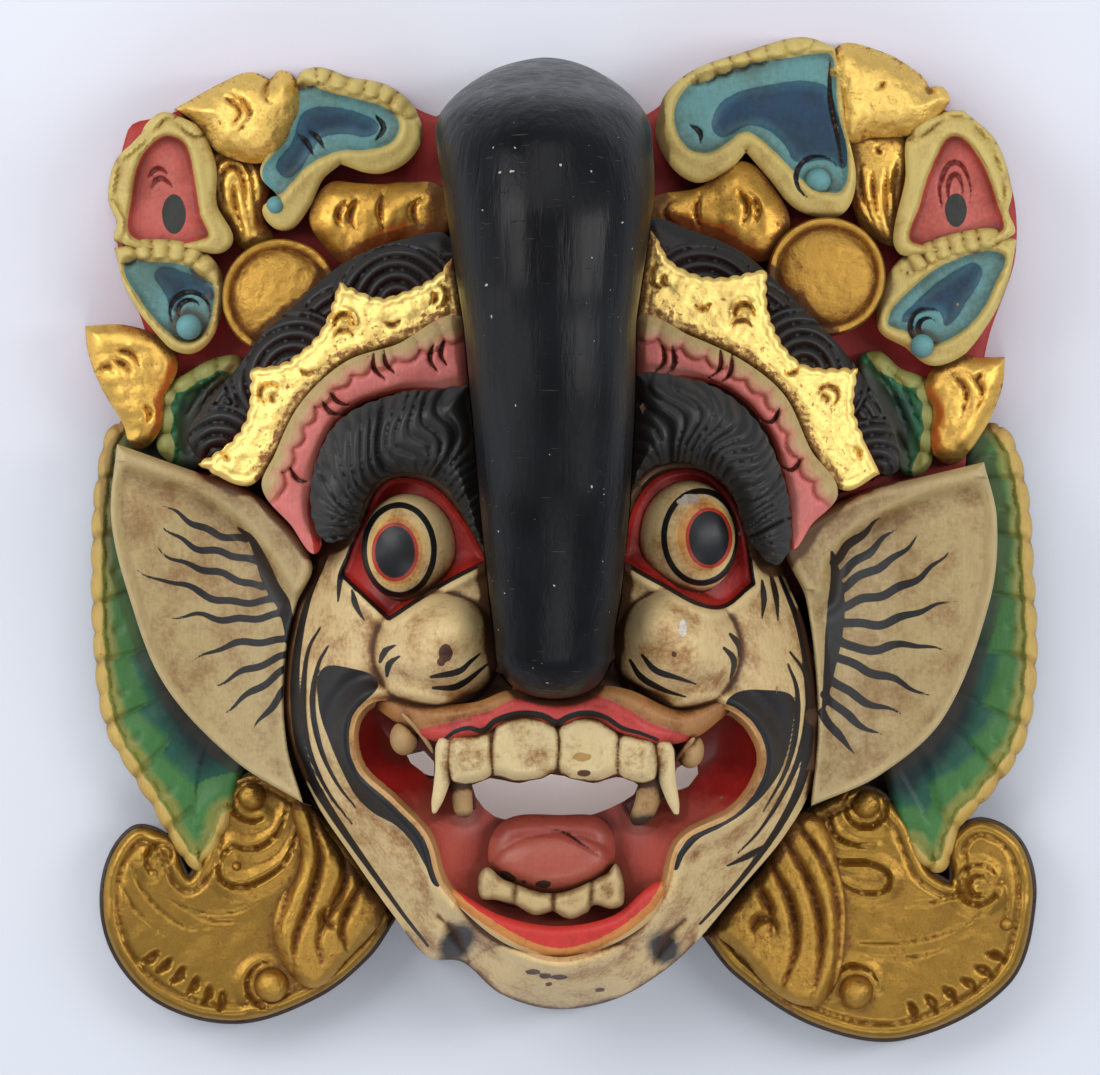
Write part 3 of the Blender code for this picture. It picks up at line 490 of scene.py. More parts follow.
def underneath(flat, front, spacing):
    """Coarse triangles below a sheet, which start from its own rim."""
    rim = rim_edges(front)
    rim_points = np.unique(rim)
    place = {int(i): k for k, i in enumerate(rim_points)}
    pairs = [(place[int(a)], place[int(b)]) for a, b in rim]
    spare = grid_points(flat.min(axis=0), flat.max(axis=0), spacing)
    near = np.full(len(spare), FAR)
    for p in flat[rim_points]:
        near = np.minimum(near, np.hypot(*(spare - p).T))
    spare = spare[near > spacing * 0.5]
    every = [tuple(p) for p in np.concatenate([flat[rim_points], spare])]
    found = delaunay_2d_cdt(every, pairs, [], 0, 1e-5)
    coarse = np.array([tuple(p) for p in found[0]])
    source = np.array([origins[0] for origins in found[3]])
    faces = np.array(found[2])
    odd = enclosed(coarse[faces].mean(axis=1), flat[rim[:, 0]], flat[rim[:, 1]])
    faces = facing_up(coarse, faces[odd])
    names = np.where(source < len(rim_points), rim_points[np.minimum(source, len(rim_points) - 1)],
                     len(flat) + source - len(rim_points))
    return names[faces], spare


def relief(name, loop, height, paint, cuts=(), marks=None, step=2.6, side=None):
    """A closed carved piece. Its marks are named distances in drawing units, kept in millimetres."""
    flat, front = sheet(loop, cuts, step)
    back, spare = underneath(flat, front, COARSE)
    every = np.concatenate([flat, spare])
    depth = inside(every, loop)
    for cut in cuts:
        depth = np.minimum(depth, -inside(every, cut))
    depth = np.maximum(depth, 0.0)
    top = height(every, depth)
    low = underside(every, top)
    middle = np.maximum(top - WALL_LIP, (top + low) / 2)
    count = len(every)
    rim = rim_edges(front)
    upper = np.concatenate([np.stack([rim[:, 1], rim[:, 0], rim[:, 0] + count], axis=1),
                            np.stack([rim[:, 1], rim[:, 0] + count, rim[:, 1] + count], axis=1)])
    lower = upper + count
    faces = np.concatenate([front, upper, lower, back[:, ::-1] + 2 * count])
    coords = np.concatenate([to_space(every, top), to_space(every, middle), to_space(every, low)])
    used, index = np.unique(faces, return_inverse=True)
    mesh = bpy.data.meshes.new(name)
    mesh.from_pydata(coords[used].tolist(), [], index.reshape(-1, 3).tolist())
    for key, rule in (marks or {}).items():
        mark(mesh, key, np.tile(rule(every, depth) * UNIT, 3)[used])
    mesh.materials.append(paint)
    mesh.materials.append(side or paint)
    slots = np.zeros(len(faces), np.int32)
    slots[len(front) + len(upper):] = 1
    mesh.polygons.foreach_set("material_index", slots)
    mesh.shade_smooth()
    mesh.set_sharp_from_angle(angle=SHARP)
    return own(standing(name, mesh))


print("walls have an upper part of", WALL_LIP, "mm")

# %% [markdown]
# ## Paint as a maker lays it
# Each finish is a stack: a coat of paint with brush streaks, painted borders and lines, brown
# wax that stays in the crevices and also stands for painted shade there, and rubbed ridges, which
# on gold leaf are partly a painted highlight. Three effects are shared by many finishes, so each
# is a node group with named inputs: the edge of a painted zone, the hand-laid coat with its wax,
# and gold leaf over red clay. The carved distances come in as attributes.

# %% Colours
def srgb(red, green, blue):
    """A screen colour as the linear one that a shader takes."""
    return tuple(((c / 255 + 0.055) / 1.055) ** 2.4 if c > 10 else c / 255 / 12.92
                 for c in (red, green, blue)) + (1.0,)


CREAM = srgb(216, 188, 134)
EAR_CREAM = srgb(184, 162, 114)
BORDER = srgb(200, 178, 104)
GOLD, CLAY = srgb(230, 184, 92), srgb(142, 70, 30)
RED, BLACK, BLUE_LIGHT = srgb(176, 44, 36), srgb(26, 25, 26), srgb(98, 150, 152)
# The wax colour also stands for painted shade in the crevices.
WAX_AND_SHADE, WASH = srgb(72, 45, 26), srgb(158, 118, 74)
print("cream is", [round(c, 3) for c in CREAM[:3]], "in linear light")

# %% Small helpers for node trees
def add(tree, kind, values=(), **settings):
    """A node with settings, and with values set on or linked to its inputs."""
    node = tree.nodes.new(kind)
    for key, value in settings.items():
        setattr(node, key, value)
    for key, value in dict(values).items():
        if isinstance(value, bpy.types.NodeSocket):
            tree.links.new(value, node.inputs[key])
        else:
            node.inputs[key].default_value = value
    return node


def figure(tree, operation, *values, clamp=False):
    """The result of a Math node."""
    return add(tree, "ShaderNodeMath", dict(enumerate(values)), operation=operation,
               use_clamp=clamp).outputs[0]


def blended(tree, share, first, second, kind="MIX"):
    """Two colours, mixed by a share. A Mix node keeps its colours on inputs 6 and 7."""
    return add(tree, "ShaderNodeMix", {0: share, 6: first, 7: second}, data_type="RGBA",
               blend_type=kind).outputs[2]


def swung(tree, value, share, middle):
    """A noise moved to swing round a middle, by a share of its size."""
    return figure(tree, "MULTIPLY_ADD", figure(tree, "SUBTRACT", value, 0.5), share, middle)


def grey(tree, value):
    """A value as a grey colour."""
    return add(tree, "ShaderNodeCombineColor", dict.fromkeys(("Red", "Green", "Blue"), value)).outputs[0]


def stretched(tree, place, scale, turn=(0.0, 0.0, 0.0)):
    """Coordinates at another scale along each axis."""
    return add(tree, "ShaderNodeMapping", {"Vector": place, "Scale": scale, "Rotation": turn}).outputs[0]


def ramp(tree, value, low, high):
    """0 below one value and 1 above another, with a soft rise between."""
    node = add(tree, "ShaderNodeMapRange", {"Value": value, "From Min": low, "From Max": high},
               interpolation_type="SMOOTHSTEP")
    return node.outputs[0]


def noise(tree, place, scale, detail=3.0, rough=0.55):
    """Noise between 0 and 1 at a scale per metre."""
    return add(tree, "ShaderNodeTexNoise", {"Vector": place, "Scale": scale, "Detail": detail,
                                            "Roughness": rough}).outputs["Fac"]


def new_group(name, inputs, outputs):
    """An empty node group with named sockets."""
    tree = bpy.data.node_groups.new(name, "ShaderNodeTree")
    for key, kind, value in inputs:
        socket = tree.interface.new_socket(key, in_out="INPUT", socket_type="NodeSocket" + kind)
        if value is not None:
            socket.default_value = value
    for key, kind in outputs:
        tree.interface.new_socket(key, in_out="OUTPUT", socket_type="NodeSocket" + kind)
    return tree, tree.nodes.new("NodeGroupInput").outputs, tree.nodes.new("NodeGroupOutput").inputs


def placed(tree, shared, values):
    """A shared group in a material."""
    return add(tree, "ShaderNodeGroup", values, node_tree=shared).outputs


print("a ramp, a mix and a noise helper are ready")

# %% [markdown]
# The edge of a painted zone isn't a ruled line. The group takes a distance in millimetres,
# shifts it by noise, and gives a mask with a narrow soft edge, as a loaded brush leaves it.

# %% The edge of a painted zone
drawn_edge, given, out = new_group(
    "drawn_edge", [("Place", "Vector", None), ("Distance", "Float", 0.0), ("Wobble", "Float", 0.5),
                   ("Softness", "Float", 0.25)], [("Mask", "Float")])
t = drawn_edge
shifted = swung(t, noise(t, given["Place"], 260.0, 4.0), given["Wobble"], given["Distance"])
sharp = figure(t, "DIVIDE", shifted, given["Softness"])
t.links.new(figure(t, "ADD", sharp, 0.5, clamp=True), out["Mask"])
print("drawn_edge has", len(drawn_edge.nodes), "nodes")

# %% [markdown]
# The coat: paint is thinner on ridges, streaked by the brush, and never one flat colour. Brown wax
# is rubbed over all of it and wiped off, so it stays where the carving is deep; there it is partly
# real wax and partly painted shade. The depth is measured on the finished mask near the end, and
# small chips show the ground below.

# %% The hand-laid coat
coat, given, out = new_group(
    "hand_laid_coat",
    [("Place", "Vector", None), ("Paint", "Color", None), ("Wax", "Color", WAX_AND_SHADE), ("Wash", "Color", WASH),
     ("Ground", "Color", srgb(150, 120, 84)), ("Wax_shade_depth", "Float", 0.0), ("Waxed", "Float", 0.8),
     ("Mottle", "Float", 0.3), ("Chips", "Float", 0.2)],
    [("Colour", "Color"), ("Roughness", "Float"), ("Height", "Float")])
t = coat
broad = noise(t, given["Place"], 58.0, 5.0, 0.62)
fine = noise(t, given["Place"], 560.0, 5.0, 0.7)
streak = noise(t, stretched(t, given["Place"], (900.0, 120.0, 900.0)), 1.0, 2.0)
light = swung(t, broad, given["Mottle"], 1.0)
light = swung(t, streak, figure(t, "MULTIPLY", given["Mottle"], 0.5), light)
paint = blended(t, 1.0, given["Paint"], grey(t, light), "MULTIPLY")
washed = blended(t, 1.0, paint, given["Wash"], "MULTIPLY")
patch = figure(t, "MULTIPLY_ADD", fine, 0.42, figure(t, "MULTIPLY_ADD", given["Wax_shade_depth"], 0.1, broad))
patch = figure(t, "MULTIPLY", ramp(t, patch, 0.55, 0.95), given["Waxed"])
paint = blended(t, patch, paint, washed)
# Wax stays where the place lies deep: real wax in the hollows, and painted shade in the crevices as well.
wipe = swung(t, broad, 1.2, swung(t, fine, 0.8, given["Wax_shade_depth"]))
wax_and_shade = figure(t, "MULTIPLY", ramp(t, wipe, 0.25, 2.2), given["Waxed"])
paint = blended(t, wax_and_shade, paint, given["Wax"])
specks = noise(t, given["Place"], 240.0, 2.0, 0.4)
chip = ramp(t, figure(t, "MULTIPLY_ADD", given["Chips"], 0.1, specks), 0.79, 0.81)
t.links.new(blended(t, chip, paint, given["Ground"]), out["Colour"])
t.links.new(figure(t, "MULTIPLY_ADD", fine, 0.18, figure(t, "MULTIPLY", wax_and_shade, 0.12)), out["Roughness"])
height = figure(t, "MULTIPLY_ADD", streak, 0.35, figure(t, "MULTIPLY", fine, 0.4))
t.links.new(figure(t, "SUBTRACT", height, figure(t, "MULTIPLY", chip, 1.2)), out["Height"])
print("hand_laid_coat has", len(coat.nodes), "nodes")

# %% [markdown]
# Gold leaf is laid on red clay. It wrinkles, it tears where the carving is deep, and the wax dulls
# it there, which also stands for painted shade in the crevices. On raised ridges the leaf is less
# dulled and so brighter, partly as wear and partly as a painted highlight. So the group mixes gold,
# clay and wax, and says how metallic each place is.

# %% Gold leaf on clay
leafing, given, out = new_group(
    "gold_leaf",
    [("Place", "Vector", None), ("Gold", "Color", GOLD), ("Clay", "Color", CLAY),
     ("Wax", "Color", srgb(92, 60, 24)), ("Wax_shade_depth", "Float", 0.0), ("Worn", "Float", 0.4),
     ("Waxed", "Float", 0.8), ("Wrinkle", "Float", 0.5), ("Dulled", "Float", 0.5)],
    [("Colour", "Color"), ("Metallic", "Float"), ("Roughness", "Float"), ("Height", "Float")])
t = leafing
broad = noise(t, given["Place"], 60.0, 4.0, 0.6)
fine = noise(t, given["Place"], 380.0, 5.0, 0.7)
pores = noise(t, given["Place"], 900.0, 3.0, 0.6)
folds = add(t, "ShaderNodeTexVoronoi", {"Vector": given["Place"], "Scale": 230.0},
            feature="SMOOTH_F1").outputs["Distance"]
# Wax stays where the place lies deep: real wax, and painted shade in the crevices as well.
wipe = swung(t, broad, 1.2, swung(t, fine, 1.6, given["Wax_shade_depth"]))
wax_and_shade = figure(t, "MULTIPLY", ramp(t, wipe, 0.1, 1.7), given["Waxed"])
torn = figure(t, "MULTIPLY_ADD", figure(t, "MINIMUM", wipe, 1.0), 0.16, fine)
torn = ramp(t, figure(t, "MULTIPLY_ADD", given["Worn"], 0.3, torn), 0.70, 0.86)
torn = figure(t, "MULTIPLY", torn, 0.85)
dull = figure(t, "MULTIPLY_ADD", pores, 0.5, figure(t, "MULTIPLY", broad, 0.5))
dull = figure(t, "MULTIPLY", ramp(t, dull, 0.44, 0.72), given["Dulled"])
# Raised places are less dulled, so brighter: partly wear, partly a painted highlight on the ridges.
dull = figure(t, "MULTIPLY", dull, ramp(t, given["Wax_shade_depth"], -1.4, 0.1))
colour = blended(t, 1.0, given["Gold"], grey(t, swung(t, broad, 0.5, 1.0)), "MULTIPLY")
colour = blended(t, dull, colour, srgb(128, 86, 30))
colour = blended(t, torn, colour, given["Clay"])
t.links.new(blended(t, wax_and_shade, colour, given["Wax"]), out["Colour"])
bare = figure(t, "MAXIMUM", figure(t, "MAXIMUM", torn, figure(t, "MULTIPLY", dull, 0.45)),
              figure(t, "MULTIPLY", wax_and_shade, 0.8))
t.links.new(figure(t, "MULTIPLY_ADD", bare, -0.75, 0.92), out["Metallic"])
rough = figure(t, "MULTIPLY_ADD", bare, 0.2, figure(t, "MULTIPLY_ADD", fine, 0.25, 0.24))
t.links.new(rough, out["Roughness"])
height = figure(t, "MULTIPLY", figure(t, "MULTIPLY_ADD", folds, 1.4, figure(t, "MULTIPLY", fine, 1.2)),
                given["Wrinkle"])
t.links.new(height, out["Height"])
print("gold_leaf has", len(leafing.nodes), "nodes")

# %% [markdown]
# Two makers of materials follow. One paints zones over a coat, each zone where a named distance
# is above a number of millimetres. The other gilds. The shader itself stays in the material,
# and plain numbers are set on its own sockets.

# %% Makers of materials
PAINT_RELIEF = 0.12     # millimetres that brush strokes stand up


def start(name, gloss, sheen=0.38):
    """A new material with its node tree, its shader and the object's coordinates."""
    paint = bpy.data.materials.new(name)
    paint.use_nodes = True
    tree = paint.node_tree
    shader = tree.nodes["Principled BSDF"]
    shader.inputs["Roughness"].default_value = gloss
    shader.inputs["Specular IOR Level"].default_value = sheen
    place = add(tree, "ShaderNodeTexCoord").outputs["Object"]
    return paint, tree, shader, place


def read(tree, name):
    """A distance that is stored on the mesh."""
    return add(tree, "ShaderNodeAttribute", attribute_name=name).outputs["Fac"]


def bumped(tree, shader, height, depth):
    """A fine relief of a depth in millimetres."""
    bump = add(tree, "ShaderNodeBump", {"Height": height, "Strength": 1.0, "Distance": depth * MM})
    tree.links.new(bump.outputs[0], shader.inputs["Normal"])


def painted(name, colour, zones=(), waxed=0.8, mottle=0.4, chips=0.1, gloss=0.44, wax=WAX_AND_SHADE,
            ground=srgb(150, 120, 84)):
    """Paint in zones: (attribute, millimetres, colour, wobble) for each, the last one on top."""
    material, tree, shader, place = start(name, gloss)
    shown = colour
    for key, least, zone_colour, wobble in zones:
        distance = figure(tree, "SUBTRACT", read(tree, key), least)
        mask = placed(tree, drawn_edge, {"Place": place, "Distance": distance, "Wobble": wobble,
                                         "Softness": wobble if wobble > 3.0 else 0.25})["Mask"]
        shown = blended(tree, mask, shown, zone_colour)
    layer = placed(tree, coat, {"Place": place, "Paint": shown, "Wax_shade_depth": read(tree, "deep"), "Wax": wax,
                                "Waxed": waxed, "Mottle": mottle, "Chips": chips, "Ground": ground})
    tree.links.new(layer["Colour"], shader.inputs["Base Color"])
    rough = figure(tree, "MULTIPLY_ADD", layer["Roughness"], 1.0, gloss - 0.08)
    tree.links.new(rough, shader.inputs["Roughness"])
    bumped(tree, shader, layer["Height"], PAINT_RELIEF)
    return material


def gilded(name, worn=0.4, waxed=0.8, wrinkle=0.5, relief_depth=0.25, gold=GOLD, dulled=0.6):
    """Gold leaf on clay."""
    material, tree, shader, place = start(name, 0.3)
    layer = placed(tree, leafing, {"Place": place, "Wax_shade_depth": read(tree, "deep"), "Worn": worn,
                                   "Waxed": waxed, "Wrinkle": wrinkle, "Gold": gold, "Dulled": dulled})
    for key in ("Colour", "Metallic", "Roughness"):
        tree.links.new(layer[key], shader.inputs["Base Color" if key == "Colour" else key])
    bumped(tree, shader, layer["Height"], relief_depth)
    return material


RED_SIDE = painted("red_ground", srgb(204, 50, 46), waxed=0.22, chips=0.1, mottle=0.5)
DARK_SIDE = painted("dark_edge", srgb(60, 52, 44), waxed=0.6, chips=0.1)
GOLD_LEAF = gilded("gold_leaf_smooth", worn=0.35, relief_depth=0.4)
DISC_LEAF = gilded("gold_leaf_discs", worn=0.55, waxed=1.0, wrinkle=1.1, relief_depth=0.45,
                   gold=srgb(186, 143, 66), dulled=0.95)
DULL_LEAF = gilded("gold_leaf_dull", worn=0.5, relief_depth=0.3, gold=srgb(206, 158, 72), dulled=0.85)
SCROLL_LEAF = gilded("gold_leaf_scrolls", worn=0.2, waxed=0.6, relief_depth=0.35, gold=srgb(164, 126, 56),
                     dulled=0.8)
FOIL = gilded("gold_leaf_wrinkled", worn=0.45, waxed=0.5, wrinkle=1.0, relief_depth=0.4,
              gold=srgb(255, 220, 130), dulled=0.3)
CAP_LEAF = gilded("gold_leaf_caps", worn=0.42, waxed=0.6, wrinkle=1.0, relief_depth=0.5,
                  gold=srgb(248, 206, 112), dulled=0.5)
print(len(bpy.data.materials), "materials so far")

# %% [markdown]
# ## The block and its hollow back
# Nobody sees the back in use, so carvers leave it plain: a flat rim, an oval hollow cut with a
# gouge, and dark bare wood. The block is a merged copy of the frame's own solid. Its front is
# lowered a few millimetres, and its sides drawn in, because the carved forms cover it there.

# %% The block
FRONT_SINK, LOW_SINK, MOUTH_SINK, SIDE_SINK = 0.005, 0.011, 0.02, 0.0022


def make_block():
    """The frame's block as a merged copy, sunk and drawn in under the carved forms."""
    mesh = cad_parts["mask"].data.copy()
    mesh.name = "block"
    mesh.materials.clear()
    work = bmesh.new()
    work.from_mesh(mesh)
    bmesh.ops.remove_doubles(work, verts=work.verts, dist=1e-6)
    for face in work.faces:
        face.normal_update()
    moves = []
    for v in work.verts:
        ups = [f for f in v.link_faces if f.normal.z > 0.15]
        walls = [f for f in v.link_faces if abs(f.normal.z) < 0.4]
        lows = [f for f in v.link_faces if f.normal.z < -0.9 and v.co.z < 1e-4]
        x = y = z = 0.0
        if ups:
            z = -min(LOW_SINK if v.co.z < 0.045 else FRONT_SINK, v.co.z * 0.5)
        if ups and v.co.z > 0.12 and to_drawing([v.co])[0][0, 1] > 670.0:
            z = -MOUTH_SINK
        if walls and (ups or lows):
            out = np.array([f.normal[:2] for f in walls]).sum(axis=0)
            x, y = -out / max(np.hypot(*out), 1e-9) * SIDE_SINK
        moves.append((x, y, z))
    for v, move in zip(work.verts, moves):
        v.co.x += move[0]
        v.co.y += move[1]
        v.co.z += move[2]
    work.to_mesh(mesh)
    work.free()
    # The block's front shows only in the gaps between the forms; its dark red there is painted shade over
    # the red ground.
    mesh.materials.append(painted("crevice_red_painted_shade", srgb(70, 20, 18), waxed=1.0, mottle=0.5))
    mesh.materials.append(bare_wood())
    slots = [0 if f.normal.z > 0.15 else 1 for f in mesh.polygons]
    mesh.polygons.foreach_set("material_index", slots)
    block = own(standing("block", mesh))
    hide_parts("mask")


def bare_wood():
    """Dark bare wood with long grain and gouge marks."""
    material, tree, shader, place = start("bare_wood", 0.7)
    grain = noise(tree, stretched(tree, place, (260.0, 14.0, 120.0)), 1.0, 5.0)
    broad = noise(tree, place, 18.0)
    tone = figure(tree, "MULTIPLY_ADD", broad, 0.5, figure(tree, "MULTIPLY", grain, 0.6))
    tone = ramp(tree, tone, 0.3, 0.8)
    colour = blended(tree, tone, srgb(58, 38, 24), srgb(124, 88, 56))
    tree.links.new(colour, shader.inputs["Base Color"])
    gouges = add(tree, "ShaderNodeTexVoronoi", {"Vector": place, "Scale": 70.0},
                 feature="SMOOTH_F1").outputs["Distance"]
    bumped(tree, shader, figure(tree, "MULTIPLY_ADD", gouges, 2.0, grain), 0.5)
    return material


make_block()

# %% [markdown]
# ## The red ground, the ruffs and the green leaves
# Behind the crown lies a plain red ground. Below the ears hangs a ruff of green segments with a
# cream beaded edge. The beads make the mask's outline there, so the outline itself is
# scalloped, and a groove runs inward from between each two beads.

# %% Left and right outlines
CROWN_GROUND = [
    (128, 130), (165, 116), (215, 96), (300, 80), (395, 100), (450, 118), (520, 90), (580, 90),
    (634, 118), (690, 82), (780, 50), (870, 56), (945, 110), (1003, 165), (1016, 250), (988, 340),
    (975, 420), (960, 520), (800, 600), (560, 560), (300, 600), (150, 500), (118, 440), (150, 360),
    (145, 330), (118, 250),
]
UNDER_FACE = [(700, 540), (560, 470), (410, 540), (330, 470), (470, 330), (640, 330), (780, 470)]
RUFFS = (
    [(118, 422), (97, 479), (92, 560), (95, 657), (106, 728), (134, 778), (156, 812),
     (182, 858), (204, 868), (236, 800), (250, 700), (180, 560), (165, 440)],
    [(1000, 425), (1025, 479), (1033, 568), (1036, 672), (1023, 745), (988, 797), (964, 822),
     (937, 872), (900, 830), (880, 700), (960, 560), (965, 440)],
)
RUFF_OUTER = (0.0, 0.55), (0.0, 0.53)
GREEN_LEAVES = (
    [(243, 358), (215, 358), (190, 371), (161, 392), (158, 425), (160, 454), (196, 470),
     (222, 452), (216, 425), (246, 388)],
    [(857, 362), (878, 351), (900, 368), (928, 382), (937, 430), (927, 470), (902, 474),
     (884, 430)],
)
SIDES = ("left", "right")
BEAD = 31.0


ground_loop = smooth(CROWN_GROUND, 8.0)
SWELL = 4.0             # drawing units that crown leaves grow, to close the gaps between them


def packed(outline):
    """An outline that swells towards its neighbours, but not at the mask's own edge."""
    loop = smooth(outline)
    share = np.clip((inside(loop, ground_loop) - 6.0) / 16.0, 0.0, 1.0)
    return grown(loop, SWELL * share)


relief("red_ground", ground_loop, lambda p, d: GROUND - fall(d, 1.2, 3.0) + 0.25 * uneven(p, 21.0),
       RED_SIDE, step=9.0, cuts=[smooth(UNDER_FACE, 8.0)])

green_paint = painted("green_ruff", srgb(16, 46, 44),
                      [("band", 0.0, srgb(26, 88, 68), 6.0), ("stripe", 0.0, srgb(66, 122, 60), 3.6),
                       ("pale", 0.0, srgb(136, 138, 62), 3.4), ("rim", 0.0, srgb(196, 164, 86), 2.6)],
                      waxed=0.35, mottle=0.7)
for side, outline, (first, last) in zip(SIDES, RUFFS, RUFF_OUTER):
    plain = smooth(outline)
    outer = plain[:int(len(plain) * last)]

    def segment(p, line=outer):
        """Distance from the outer edge, and the share of a segment that is passed along it."""
        away, along = nearest(p, line, 90.0)
        return away, (along / BEAD / 2.0 + away * 0.004 + 0.08 * uneven(p, 26.0)) % 1.0

    def ruff_height(p, d, line=outer, rows=segment):
        row, rise = beads(p, line, 11.0, BEAD)
        away, part = rows(p)
        lap = np.minimum(part, (1.0 - part) * 9.0) * np.clip(1.1 - away / 80.0, 0.0, 1.0)
        z = RUFF - fall(d, 4.0, 4.0) + 3.2 * lap - 1.8
        z -= 1.4 * np.exp(-((part - 0.55) * 14.0) ** 2 - ((away - 24.0) / 5.0) ** 2)
        return z + 0.9 * rise * (row > 0.0) - 0.8 * bell(row + 2.0, 2.4) + 0.4 * uneven(p, 11.0)

    relief("ruff_" + side, scalloped(plain, BEAD, 3.4, first, last), ruff_height, green_paint,
           side=DARK_SIDE,
           marks={"rim": lambda p, d, line=outer: beads(p, line, 9.0, BEAD)[0],
                  "band": lambda p, d, rows=segment: 58.0 - rows(p)[0],
                  "stripe": lambda p, d, rows=segment: 36.0 + 14.0 * rows(p)[1] - rows(p)[0],
                  "pale": lambda p, d, rows=segment: 17.0 + 7.0 * rows(p)[1] - rows(p)[0]})

leaf_green = painted("green_leaf", srgb(150, 152, 84),
                     [("heart", 0.0, srgb(40, 104, 66), 1.4), ("heart", 4.0, srgb(18, 58, 48), 4.0)],
                     waxed=0.3, mottle=0.7)
GREEN_HEARTS = (
    smooth([(184, 394), (212, 380), (238, 366), (218, 404), (200, 440), (186, 456), (177, 430)]),
    smooth([(866, 362), (890, 388), (912, 424), (922, 466), (900, 468), (888, 432), (870, 396)]),
)
GREEN_ROWS = GREEN_LEAVES[0][:6], GREEN_LEAVES[1][1:6]
GREEN_BEADS = 15.0, 27.0
GREEN_VEINS = (([(232, 376), (208, 398), (196, 424)], [(222, 374), (200, 392), (186, 416)],
                [(190, 440), (200, 450), (210, 452)]),
               ([(874, 366), (894, 394), (908, 430)], [(884, 364), (904, 388), (918, 424)],
                [(896, 430), (904, 446), (910, 462)]))
for k, side in enumerate(SIDES):
    row, heart, veins = smooth(GREEN_ROWS[k], closed=False), GREEN_HEARTS[k], GREEN_VEINS[k]

    def green_height(p, d, row=row, heart=heart, veins=veins):
        lobe, rise = beads(p, row, *GREEN_BEADS)
        z = GREEN_LEAF - fall(d, 3.0, 4.0) - 2.0 * ease(inside(p, heart) * UNIT / 4.0)
        return z + np.where(lobe > 0.0, 3.0 * rise - 1.5, 0.0) - gouged(p, veins, 3.2, 2.0)

    relief("green_leaf_" + side, smooth(GREEN_LEAVES[k]), green_height, leaf_green, side=RED_SIDE,
           marks={"heart": lambda p, d, row=row: 3.0 - beads(p, row, *GREEN_BEADS)[0]})

# %% [markdown]
# ## The painted leaves of the crown
# The blue and the red leaves are built alike: a wide cream border, cut into beads near the tip,
# runs round a core that is sunk with a gouge. The core is painted in two tones, light beside
# the border and dark in the middle. Arcs of a small gouge decorate the border.

# %% The leaves
BLUE_LEAVES = (
    [(298, 76), (318, 67), (350, 77), (385, 84), (412, 104), (420, 128), (408, 156), (378, 170),
     (340, 160, 1), (320, 177), (306, 206), (285, 227), (266, 210), (282, 198), (264, 172),
     (282, 144), (297, 110)],
    [(835, 47, 1), (802, 37), (750, 50), (690, 72), (661, 103), (663, 146), (693, 178),
     (725, 168), (746, 146, 1), (770, 174), (800, 207), (838, 212), (852, 180), (842, 125)],
)
BLUE_CORES = (
    [(300, 84), (325, 91), (353, 98), (381, 106), (396, 116), (399, 129), (390, 143), (366, 150),
     (344, 150), (324, 156), (306, 167), (292, 182), (277, 194), (262, 172), (280, 146), (292, 116)],
    [(832, 56), (816, 54), (781, 59), (748, 64), (701, 77), (678, 100), (675, 126), (688, 148), (706, 153),
     (724, 145), (743, 132), (758, 137), (781, 158), (804, 181), (823, 191), (842, 190), (848, 160),
     (838, 110)],
)
BLUE_HEARTS = (
    [(304, 112), (334, 107), (370, 117), (379, 128), (368, 137), (344, 134), (322, 138), (314, 148),
     (298, 172), (286, 178), (276, 166), (292, 142)],
    [(712, 120), (724, 100), (757, 87), (822, 84), (838, 116), (846, 166), (826, 160), (796, 162),
     (784, 144), (766, 129), (748, 126), (724, 137), (713, 131)],
)
RED_LEAVES = (
    [(146, 124), (165, 112), (196, 130), (212, 165), (213, 205), (227, 245), (180, 243),
     (116, 242), (117, 222, 1), (108, 198), (116, 160), (143, 135, 1)],
    [(912, 135), (940, 114), (963, 110, 1), (996, 141), (1012, 190), (1008, 211, 1),
     (1013, 235), (960, 241), (905, 252), (897, 238), (909, 180)],
)
RED_CORES = (
    [(170, 136), (186, 146), (194, 176), (200, 214), (206, 238), (134, 238), (132, 196), (140, 160),
     (154, 142)],
    [(954, 136), (978, 156), (996, 200), (1000, 232), (914, 243), (920, 204), (936, 158)],
)
SMALL_BLUE_LEAVES = (
    [(114, 248, 1), (150, 243), (195, 250), (219, 278), (213, 328), (190, 350), (158, 334),
     (128, 294)],
    [(881, 325), (892, 276), (922, 249), (985, 232), (1017, 240, 1), (1005, 292), (975, 340),
     (935, 362), (907, 344)],
)
SMALL_BLUE_CORES = (
    [(124, 262), (150, 262), (186, 266), (212, 284), (213, 306), (206, 330), (188, 342), (168, 332),
     (142, 302)],
    [(1002, 254), (950, 262), (908, 292), (888, 322), (908, 332), (926, 344), (948, 340), (976, 318),
     (994, 286)],
)
SMALL_BLUE_HEARTS = (
    [(156, 270), (190, 274), (210, 286), (212, 300), (196, 292), (180, 300), (176, 312), (166, 296)],
    [(980, 266), (944, 278), (912, 306), (902, 322), (918, 314), (940, 312), (946, 326), (964, 306)],
)
BLUE_BEADS = (([(300, 74), (318, 66), (350, 76), (386, 85), (410, 102)], 14.0, 17.5),
              ([(694, 70), (722, 58), (750, 49), (800, 36)], 13.0, 19.0))
SMALL_BEADS = (([(116, 248), (150, 242), (195, 249), (214, 268)], 14.0, 18.0),
               ([(908, 260), (926, 248), (984, 232)], 13.0, 15.0))
RED_BEADS = (([(115, 240), (117, 222), (107, 198), (115, 160), (143, 134), (165, 111),
               (197, 129)], 6.0, 42.0),
             ([(912, 134), (940, 113), (963, 109), (997, 140), (1013, 190), (1009, 211)], 6.0, 36.0))
